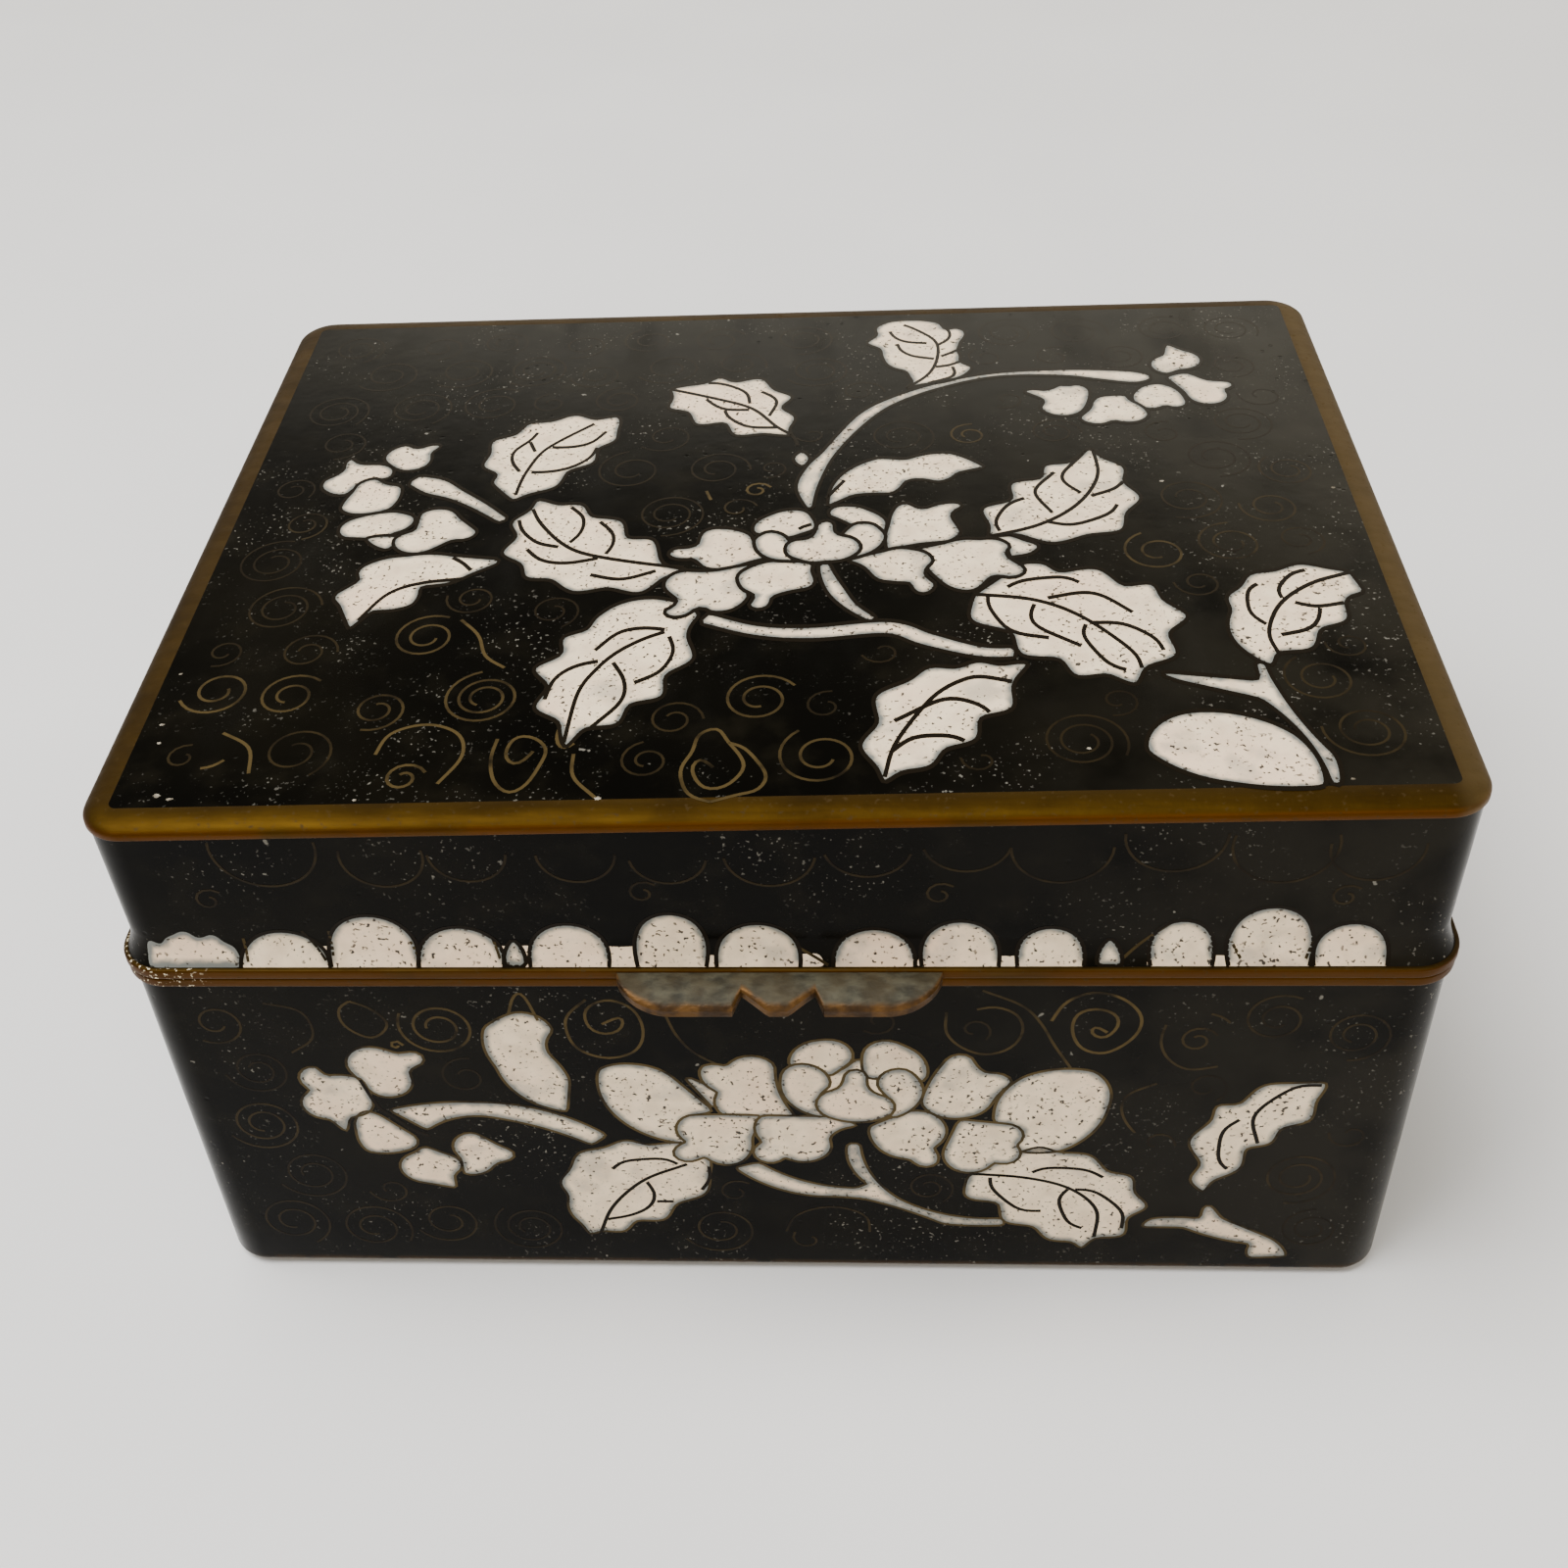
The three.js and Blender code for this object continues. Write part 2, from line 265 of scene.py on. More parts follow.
def tray_inset(z):
    """How far inside the widest outline the tray's outside lies at height z."""
    share = (z - TRAY_EDGE_Z) / (TRAY_TOP_Z - TRAY_EDGE_Z)
    return TRAY_FOOT_INSET + (TRAY_TOP_INSET - TRAY_FOOT_INSET) * share


def tray_rings():
    """Rings from the tray's floor up its inside, down its outside and in to the foot."""
    rings = [(tray_inset(FLOOR_Z) + WALL, FLOOR_Z, FOOT_CORNER - tray_inset(FLOOR_Z) - WALL)]
    rings.append((TRAY_TOP_INSET + WALL, TRAY_TOP_Z, TOP_CORNER - TRAY_TOP_INSET - WALL))
    corner_growth = (FOOT_CORNER - TRAY_FOOT_INSET) - (TOP_CORNER - TRAY_TOP_INSET)
    for step in range(9):
        z = TRAY_TOP_Z + (TRAY_EDGE_Z - TRAY_TOP_Z) * step / 8
        rings.append((tray_inset(z), z, TOP_CORNER - TRAY_TOP_INSET + corner_growth * step / 8))
    for step in range(1, 6):
        turn = step / 5 * math.pi / 2
        inward = TRAY_EDGE_ROUND * (1 - math.cos(turn))
        z = TRAY_EDGE_Z - TRAY_EDGE_ROUND * math.sin(turn)
        rings.append((TRAY_FOOT_INSET + inward, z, FOOT_CORNER - TRAY_FOOT_INSET - inward))
    rings.append((FOOT_RIM_INNER, FOOT_RIM_HEIGHT, FOOT_CORNER - FOOT_RIM_INNER))
    rings.append((FOOT_RIM_INNER, 0, FOOT_CORNER - FOOT_RIM_INNER))
    return rings


tray = loft("enamelled_tray", tray_rings(), BLACK_ENAMEL)
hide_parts("tray")


# The foot rim: a flat brass strip let into the edge of the underside, which the box stands on.
# It is the CAD node itself, worn and dull.


def brass_finish(name, bright, dark, painted_reflection_red, glinting=False):
    """Old rubbed brass: streaked along its length, brown in patches, and tinted redder where it turns down,
    which is painted reflection for the darker, redder look of its steeper faces. It has bright glints at
    the left front corner if glinting, and if not its right end is lightened by painted light."""
    finish = Finish(name)
    streaks = finish.noise(0.7, 4.0, (0.08, 0.5, 1.6))
    patches = finish.noise(5, 4.0).ramp(0.4, 0.7)
    worn = (streaks.ramp(0.3, 0.7) * 0.55 + patches * 0.45).blend(bright, dark)
    # Painted reflection: faces that turn down are tinted redder in patches, for the darker reflection of the
    # steeper faces.
    normal = finish.node("NewGeometry", {}, "Normal")
    upright = finish.node("SeparateXYZ", {}, "Z", normal)
    down = upright.ramp(0.88, 0.55) * finish.noise(8, 3.0).ramp(0.2, 0.5)
    colour = (down * 0.85).blend(worn, painted_reflection_red)
    freckles = finish.noise(0.45, 3.0).ramp(0.6, 0.72)
    colour = (freckles * 0.5).blend(colour, (0.07, 0.045, 0.018))
    across = finish.node("SeparateXYZ", {}, "X", finish.place)
    if glinting:
        along = finish.node("SeparateXYZ", {}, "Y", finish.place)
        corner = across.ramp(-43, -46) * along.ramp(-30, -37)
        glints = corner * finish.noise(0.3, 2.0).ramp(0.6, 0.67)
        colour = glints.blend(colour, (0.6, 0.52, 0.36))
    else:
        # Painted light: the right end of the brass is lightened, for the light that falls on the right-hand
        # border.
        painted_right_light = across.ramp(47.5, 49.5) * 0.55
        colour = painted_right_light.blend(colour, (0.115, 0.075, 0.026))
    finish.surface(colour, 0.46 + streaks * 0.14 + freckles * 0.2, 0.88, Specular_IOR_Level=0.1)
    finish.relief(streaks * 0.6 + finish.noise(1.3, 3.0) * 0.6, 0.05)
    return finish.material


# The redder colour here is the painted reflection tint of the faces that turn down.
BRASS = brass_finish(
    "rubbed brass", bright=(0.048, 0.025, 0.002), dark=(0.026, 0.013, 0.001), painted_reflection_red=(0.075, 0.025, 0.0008)
)

foot_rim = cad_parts["foot_rim"]
foot_rim.data.materials.clear()
foot_rim.data.materials.append(BRASS)


# The tray's rim: a brass strip round the mouth, with an upstand inside it that locates the lid.
# It is rounded by wear, and its lower edge stands a hair proud of the enamel.

TRAY_RIM_HEIGHT = 0.95
TRAY_RIM_PROUD = 0.1
UPSTAND_HEIGHT = 2.4
UPSTAND_THICKNESS = 0.7
UPSTAND_CHAMFER = 0.1
LID_CLEARANCE = 0.3
WAIST_INSET = 0.8
RIM_ROUND = 0.22


def rounded_edge(inset, z, toward_inset, toward_z, steps=4):
    """Rings over a rounded edge of a strip. (inset, z) is the sharp corner that the round takes off;
    the other two say which way the round's centre lies, as 1 or -1."""
    rings = []
    for step in range(steps + 1):
        turn = step / steps * math.pi / 2
        rings.append((
            inset + toward_inset * RIM_ROUND * (1 - math.cos(turn)),
            z + toward_z * RIM_ROUND * (1 - math.sin(turn)),
        ))
    return rings


def strip(name, section, material):
    """A closed ring of metal from the (inset, height) corners of its section, down the outside."""
    rings = [(inset, z, TOP_CORNER - inset) for inset, z in section]
    return loft(name, rings, material, closed_ring=True)


tray_rim_outer = -TRAY_RIM_PROUD
upstand_outer = WAIST_INSET + WALL + LID_CLEARANCE
upstand_inner = upstand_outer + UPSTAND_THICKNESS
tray_rim_section = [
    (upstand_inner, SEAM_Z + UPSTAND_HEIGHT - UPSTAND_CHAMFER),
    (upstand_inner - UPSTAND_CHAMFER, SEAM_Z + UPSTAND_HEIGHT),
    (upstand_outer + UPSTAND_CHAMFER, SEAM_Z + UPSTAND_HEIGHT),
    (upstand_outer, SEAM_Z + UPSTAND_HEIGHT - UPSTAND_CHAMFER),
    (upstand_outer, SEAM_Z),
    *reversed(rounded_edge(tray_rim_outer, SEAM_Z, 1, -1)),
    *rounded_edge(tray_rim_outer, SEAM_Z - TRAY_RIM_HEIGHT, 1, 1),
    (upstand_inner, SEAM_Z - TRAY_RIM_HEIGHT),
]
# The redder colour here is the painted reflection tint where the rims turn down.
WORN_BRASS = brass_finish(
    "worn brass", bright=(0.05, 0.028, 0.005), dark=(0.024, 0.012, 0.0015), painted_reflection_red=(0.06, 0.022, 0.0015),
    glinting=True,
)
tray_rim = strip("brass_tray_rim", tray_rim_section, WORN_BRASS)
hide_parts("tray_rim")


# The lid: copper sheet under black enamel, with a low crown, and a skirt that flares at its foot.
# It was raised by hand, so its upper part is a little out of true.

FRONT_RISE = 0.75
SHOULDER_Z = 52.5
CEILING = 1.6
CROWN_RISE = 0.6
BORDER_WIDTH = 2.25
BORDER_THICKNESS = 0.45
BORDER_DROP = 0.85
BORDER_SIDE = 0.45
BORDER_FOOT_Z = SHOULDER_Z - BORDER_SIDE
FIELD_EDGE_Z = SHOULDER_Z + BORDER_DROP
FRAME_INNER_CORNER = 0.7
LID_RIM_HEIGHT = 0.95
SKIRT_FOOT_Z = SEAM_Z + LID_RIM_HEIGHT
FLARE_HEIGHT = 2.5
WAIST_Z = SKIRT_FOOT_Z + FLARE_HEIGHT
SKIRT_TOP_INSET = 0.25
FLARE_INSET = 0.15
CROWN_RINGS = 25
CROWN_REACH = 0.97  # the innermost ring lies this share of the way in
CROWN_STRETCHES = 28


def out_of_true(x, y):
    """How much higher the lid's upper part is there than on a true lid: most at the front corners."""
    return FRONT_RISE * x / HALF_WIDTH * (0.5 - y / HALF_DEPTH / 2)


def raised(z):
    """The height z on the true lid, as a height on this one."""
    return lambda x, y: z + out_of_true(x, y)


def crown_z(x, y):
    """The height of the lid's top inside the border."""
    across = max(0, 1 - (x / (HALF_WIDTH - BORDER_WIDTH)) ** 2)
    along = max(0, 1 - (y / (HALF_DEPTH - BORDER_WIDTH)) ** 2)
    return FIELD_EDGE_Z + CROWN_RISE * across * along + out_of_true(x, y)


def border_face(depth, steps):
    """Rings over the border's rounded shoulder, depth below its outside."""
    rings = []
    for step in range(steps + 1):
        turn = step / steps * math.pi / 2
        inward = 1 - math.sin(turn)
        z = SHOULDER_Z + (BORDER_DROP - depth) * math.cos(turn)
        corner = TOP_CORNER - (TOP_CORNER - FRAME_INNER_CORNER) * inward - depth * step / steps
        rings.append((depth + (BORDER_WIDTH - depth) * inward, raised(z), corner))
    return rings


def skirt_inset(z, top_z=BORDER_FOOT_Z):
    """How far inside the widest outline the skirt's outside lies at height z."""
    if z < WAIST_Z:
        return FLARE_INSET + (WAIST_INSET - FLARE_INSET) * (1 - ((WAIST_Z - z) / FLARE_HEIGHT) ** 2)
    return WAIST_INSET + (SKIRT_TOP_INSET - WAIST_INSET) * (z - WAIST_Z) / (top_z - WAIST_Z)


def skirt_face(depth):
    """Rings down the skirt, depth inside its outside."""
    rings = [(SKIRT_TOP_INSET + depth, raised(BORDER_FOOT_Z), TOP_CORNER - SKIRT_TOP_INSET - depth)]
    for step in range(11):
        z = WAIST_Z - FLARE_HEIGHT * step / 10
        inset = skirt_inset(z) + depth
        rings.append((inset, z, TOP_CORNER - inset))
    return rings


def lid_rings():
    """Rings from the middle of the lid's top out and down its outside, then up its inside."""
    field = []
    for step in range(CROWN_RINGS):
        share = 1 - step / (CROWN_RINGS - 1)
        inset = BORDER_WIDTH + share * share * CROWN_REACH * (HALF_DEPTH - BORDER_WIDTH)
        field.append((inset, crown_z, FRAME_INNER_CORNER))
    inside = list(reversed(skirt_face(WALL)))
    top_inset = inside.pop()[0]
    ceiling = (top_inset, raised(FIELD_EDGE_Z - CEILING), TOP_CORNER - top_inset)
    seat_foot = (BORDER_THICKNESS, raised(BORDER_FOOT_Z), TOP_CORNER - BORDER_THICKNESS)
    return [*field, *border_face(BORDER_THICKNESS, 10), seat_foot, *skirt_face(0), *inside, ceiling]


lid = loft("enamelled_lid", lid_rings(), BLACK_ENAMEL, along=CROWN_STRETCHES)
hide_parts("lid_shell")


# The lid's rim: a plain brass strip closing the foot of the skirt.

LID_RIM_PROUD = 0.2
lid_rim_outer = -LID_RIM_PROUD
lid_rim_inner = FLARE_INSET + WALL
lid_rim_section = [
    (lid_rim_inner, SEAM_Z + LID_RIM_HEIGHT),
    *reversed(rounded_edge(lid_rim_outer, SEAM_Z + LID_RIM_HEIGHT, 1, -1)),
    *rounded_edge(lid_rim_outer, SEAM_Z, 1, 1),
    (lid_rim_inner, SEAM_Z),
]
lid_rim = strip("brass_lid_rim", lid_rim_section, WORN_BRASS)
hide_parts("lid_rim")


# The border: a rounded brass band bent over the lid's shoulder. Its inner edge lies flush with the
# enamel and its foot is a thin lighter lip.

BORDER_EDGE = 0.12
border_foot = [
    (0, raised(BORDER_FOOT_Z + BORDER_EDGE), TOP_CORNER),
    (BORDER_EDGE / 3, raised(BORDER_FOOT_Z + BORDER_EDGE / 3), TOP_CORNER - BORDER_EDGE / 3),
    (BORDER_EDGE, raised(BORDER_FOOT_Z), TOP_CORNER - BORDER_EDGE),
    (BORDER_THICKNESS, raised(BORDER_FOOT_Z), TOP_CORNER - BORDER_THICKNESS),
]
border_rings = [*border_face(0, 16), *border_foot, *reversed(border_face(BORDER_THICKNESS, 16))]
border = loft("brass_border", border_rings, BRASS, closed_ring=True)
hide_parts("lid_border")


# The thumb tab: a strip of brass soldered to the rim, dished at its root and filed into two long
# lobes with a tooth between two notches. Its top is dull and crusted; its filed edge is bright.

tab_low, tab_high = (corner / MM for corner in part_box("thumb_tab"))
TAB_MIDDLE = (tab_low.x + tab_high.x) / 2
TAB_WIDTH = tab_high.x - tab_low.x
TAB_REACH = tab_high.y - tab_low.y
TAB_TOP_Z = tab_high.z
TAB_DROP = 0.95
TAB_THICKNESS = 0.8
TAB_END_RUN = 4.2
NOTCH_PLACE = 2.75
NOTCH_DEPTH = 1.35
NOTCH_STEEP_RUN = 0.7
NOTCH_SLOPE_RUN = 2
TAB_LIP = 0.15
TAB_EDGE_ROUND = 0.12
RUBBED_BAND = 1.1


def tab_reach(across):
    """How far the tab stands out from the rim, at a place measured from its middle."""
    from_end = min(1, (TAB_WIDTH / 2 - abs(across)) / TAB_END_RUN)
    lobe = TAB_REACH * math.sqrt(max(0, 1 - (1 - from_end) ** 2))
    outward = abs(across) - NOTCH_PLACE
    run = NOTCH_STEEP_RUN if outward > 0 else NOTCH_SLOPE_RUN
    return max(lobe - NOTCH_DEPTH * max(0, 1 - abs(outward) / run), TAB_LIP)


def tarnished_finish():
    """Brass under a grey-green crust, rubbed back to brown and orange towards the filed front edge."""
    finish = Finish("tarnished brass")
    edge = finish.attribute("edge")
    crust = finish.noise(0.8, 5.0, (0.6, 1, 1))
    grime = finish.noise(2.4, 4.0).ramp(0.35, 0.7)
    green = crust.ramp(0.3, 0.7).blend((0.019, 0.017, 0.009), (0.068, 0.062, 0.038))
    green = (grime * 0.6).blend(green, (0.042, 0.028, 0.009))
    rubbed = (edge + crust * 0.5 - 0.25).ramp(0.35, 0.85)
    brass = finish.noise(1.5, 3.0).ramp(0.35, 0.65).blend((0.075, 0.034, 0.006), (0.022, 0.01, 0.002))
    colour = rubbed.blend(green, brass)
    finish.surface(colour, 0.62 - rubbed * 0.2, rubbed * 0.4 + 0.2, Specular_IOR_Level=0.25)
    finish.relief(crust, 0.12)
    return finish.material


def tab_mesh():
    """The tab's points and faces, and how near its filed edge each point lies, 0 to 1."""
    half = TAB_WIDTH / 2
    count = 120
    places = [half * math.sin((2 * step / count - 1) * math.pi / 2) for step in range(count + 1)]
    places += [side * (NOTCH_PLACE + run) for side in (-1, 1) for run in (0, NOTCH_STEEP_RUN)]
    places = sorted(set(round(place, 3) for place in places))
    root_y = tab_high.y
    points = []
    edges = []
    shares = [step / 8 for step in range(9)]
    for across in places:
        reach = tab_reach(across)
        section = []
        for share in shares:
            out = reach * share
            droop = TAB_DROP * (out / TAB_REACH) ** 2
            near = max(0, 1 - (reach - out) / RUBBED_BAND)
            section.append((out - (TAB_EDGE_ROUND * 0.3 if share == 1 else 0), TAB_TOP_Z - droop, near))
        out, z, near = section[-1]
        section[-1] = (reach - TAB_EDGE_ROUND, z, near)
        section.append((reach, z - TAB_EDGE_ROUND, 1))
        section.append((reach, z - TAB_THICKNESS + TAB_EDGE_ROUND, 0.8))
        section.append((reach - TAB_EDGE_ROUND, z - TAB_THICKNESS, 0.4))
        for share in reversed(shares[:-1]):
            out = reach * share
            section.append((out, TAB_TOP_Z - TAB_DROP * (out / TAB_REACH) ** 2 - TAB_THICKNESS, 0))
        for out, z, near in section:
            points.append((TAB_MIDDLE + across, root_y - out, z))
            edges.append(near)
    corners = len(points) // len(places)
    faces = []
    for station in range(len(places) - 1):
        for corner in range(corners):
            after = (corner + 1) % corners
            here = station * corners
            faces.append((here + corner, here + after, here + corners + after, here + corners + corner))
    faces.append(tuple(reversed(range(corners))))
    faces.append(tuple(range(len(points) - corners, len(points))))
    return points, faces, edges


tab_points, tab_faces, tab_edges = tab_mesh()
tab = add_piece("thumb_tab_brass", tab_points, tab_faces, tarnished_finish())
tab_shade = tab.data.attributes.new("edge", "FLOAT", "POINT")
tab_shade.data.foreach_set("value", tab_edges)
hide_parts("thumb_tab")


# The drawing on the lid: flowers, leaves and scrolls. Flattened brass wire is bent to each outline,
# soldered to the copper, filled with white enamel, fired and ground flush with the black ground.
# Outlines run anticlockwise. Each corner carries the bulge of the arc that leaves it: how far the
# arc stands out, as a share of its chord.

SAMPLE = 0.25
CORNER_SOFTNESS = 0.3
LEAF_SOFTNESS = 1.4 * CORNER_SOFTNESS
LOBED_FROM = 0.15  # a leaf's side with a bulge above this has a lobe's tip


def arc(start, end, bulge):
    """Points along an arc from start, up to but without end."""
    start, end = complex(*start[:2]), complex(*end[:2])
    half_turn = 2 * math.atan(2 * abs(bulge))
    steps = max(2, round(abs(end - start) * (1 + bulge * bulge) / SAMPLE))
    points = []
    for step in range(steps):
        share = complex(step / steps)
        if half_turn > 0.02:
            turn = half_turn * (2 * step / steps - 1)
            radius = 0.5 / math.sin(half_turn)
            share = complex(0.5 + radius * math.sin(turn), radius * (math.cos(half_turn) - math.cos(turn)))
            share = share if bulge > 0 else share.conjugate()
        point = start + (end - start) * share
        points.append((point.real, point.imag))
    return points


def lobe(start, end, bulge):
    """Points along the edge of a leaf's lobe, which rises to a blunt tip halfway."""
    start, end = complex(*start[:2]), complex(*end[:2])
    steps = max(2, round(abs(end - start) * 1.2 / SAMPLE))
    points = []
    for step in range(steps):
        share = step / steps
        rise = bulge * (0.75 * (1 - abs(2 * share - 1) ** 1.6) + 0.4 * math.sin(math.pi * share) ** 2)
        point = start + (end - start) * complex(share, -rise)
        points.append((point.real, point.imag))
    return points


def soften(points, reach, closed):
    """The same line with its corners rounded over about reach millimetres, as wire bends."""
    places = numpy.array(points, float)
    for _ in range(max(1, round(2 * (reach / SAMPLE) ** 2))):
        softer = places * 0.5 + numpy.roll(places, 1, axis=0) * 0.25 + numpy.roll(places, -1, axis=0) * 0.25
        if not closed:
            softer[0] = places[0]
            softer[-1] = places[-1]
        places = softer
    return places


def outline(corners, lobed=False):
    """A closed outline through (x, y, bulge) corners, with tips on its well rounded sides if lobed."""
    points = []
    for here, after in zip(corners, corners[1:] + corners[:1]):
        side = lobe if lobed and here[2] > LOBED_FROM else arc
        points += side(here, after, here[2])
    return soften(points, LEAF_SOFTNESS if lobed else CORNER_SOFTNESS, closed=True)


def curve(controls):
    """Points along a smooth curve through a few control points of any number of values."""
    controls = [numpy.array(control, float) for control in controls]
    controls = [2 * controls[0] - controls[1], *controls, 2 * controls[-1] - controls[-2]]
    points = []
    for before, start, end, after in zip(controls, controls[1:], controls[2:], controls[3:]):
        steps = max(2, round(numpy.linalg.norm((end - start)[:2]) / SAMPLE))
        for step in range(steps):
            t = step / steps
            bend = 2 * before - 5 * start + 4 * end - after
            twist = 3 * start - before - 3 * end + after
            points.append(start + (end - before) * t / 2 + bend * t * t / 2 + twist * t**3 / 2)
    points.append(controls[-2])
    return numpy.array(points)


def sideways(line):
    """Unit vectors to the left of a line at each of its points."""
    along = numpy.gradient(line, axis=0)
    along /= numpy.maximum(numpy.linalg.norm(along, axis=1, keepdims=True), 1e-9)
    return numpy.stack([-along[:, 1], along[:, 0]], axis=1)


def band(controls):
    """The outline of a stem along (x, y, width) control points."""
    line = curve(controls)
    across = sideways(line[:, :2]) * line[:, 2:] / 2
    edge = numpy.vstack([line[:, :2] - across, (line[:, :2] + across)[::-1]])
    return soften(edge, CORNER_SOFTNESS, closed=True)


def spiral(x, y, radius, turns, start):
    """A scroll that winds inwards from its outer end, which lies start degrees round from the right."""
    steps = max(8, round(turns * 2 * math.pi * radius * 0.7 / SAMPLE))
    points = []
    for step in range(steps + 1):
        share = step / steps
        reach = radius * (1 - 0.72 * share**0.85)
        angle = math.radians(start) + 2 * math.pi * turns * share
        points.append((x + reach * math.cos(angle), y + reach * math.sin(angle)))
    return numpy.array(points)


def encloses(edge, x, y):
    """Whether the closed outline runs round the point."""
    after = numpy.roll(edge, -1, axis=0)
    crosses = (edge[:, 1] > y) != (after[:, 1] > y)
    rise = numpy.where(crosses, after[:, 1] - edge[:, 1], 1)
    at = edge[:, 0] + (y - edge[:, 1]) / rise * (after[:, 0] - edge[:, 0])
    return bool(numpy.sum(crosses & (x < at)) % 2)


def overlap(edge, other):
    """Whether one closed outline reaches into the other."""
    reaches_in = any(encloses(edge, x, y) for x, y in other[::5])
    return reaches_in or any(encloses(other, x, y) for x, y in edge[::5])


def white_enamel_finish():
    """Milky warm white, greyer towards the wires that hold it, with dark pinholes and stains."""
    finish = Finish("white enamel")
    cloud = finish.noise(1.6, 4.0).ramp(0.3, 0.75)
    milk = cloud.blend((0.86, 0.69, 0.475), (0.68, 0.53, 0.36))
    blush = finish.noise(12, 2.0).ramp(0.45, 0.7)
    milk = (blush * 0.6).blend(milk, (0.84, 0.6, 0.41))
    stains = finish.noise(4.5, 5.0).ramp(0.55, 0.7)
    milk = (stains * 0.45).blend(milk, (0.3, 0.27, 0.23))
    edge = finish.attribute("edge") + finish.noise(0.8, 2.0) * 0.7 - 0.35
    milk = edge.ramp(1.0, 0.25).blend(milk, (0.15, 0.155, 0.14))
    pinholes = finish.noise(0.34, 1.0).ramp(0.62, 0.69) * finish.noise(2.6, 3.0).ramp(0.34, 0.5)
    milk = pinholes.blend(milk, (0.035, 0.028, 0.02))
    finish.surface(milk, 0.3 + cloud * 0.1 + pinholes * 0.3, Specular_IOR_Level=0.25)
    finish.relief(finish.noise(1.2, 3.0) * 0.4 - pinholes * 0.6, 0.05)
    return finish.material


def wire_finish():
    """Brass wire ground flush: near-black where white enamel holds it, olive where it was rubbed clear."""
    finish = Finish("cloisonne wire")
    tone = finish.attribute("tone") * finish.noise(3, 3.0).ramp(0.2, 0.6)
    colour = tone.ramp(0.0, 1.0).blend((0.008, 0.0058, 0.0033), (0.072, 0.049, 0.017))
    finish.surface(colour, 0.22 + tone * 0.2, tone * 0.3, Specular_IOR_Level=0.04)
    finish.relief(finish.noise(0.5, 2.0), 0.004)
    return finish.material


WHITE_ENAMEL = white_enamel_finish()
WIRE = wire_finish()
WIRE_HALF_WIDTH = 0.17
LID_SPREAD = (1, 1.5)  # the lid was ground from front to back, which spread the wires across it
BARE_HALF_WIDTH = 0.09
BARE_FROM = 0.1  # a wire at least this clear stands in the black, and is narrower
WIRE_STEP = 2
WIRE_SHOULDER = 0.45
WIRE_EDGE_LIFT = 0.0015
WIRE_TOP_LIFT = 0.003
BARE_TOP_LIFT = 0.002
WIRE_SOFTNESS = 0.5
DRAWING_LIFT = 0.01
EDGE_BAND = 0.8
GRID = 1.3


def on_lid(x, y, lift):
    """Where a point of the drawing lies on the lid's top."""
    return (x, y, crown_z(x, y) + lift)


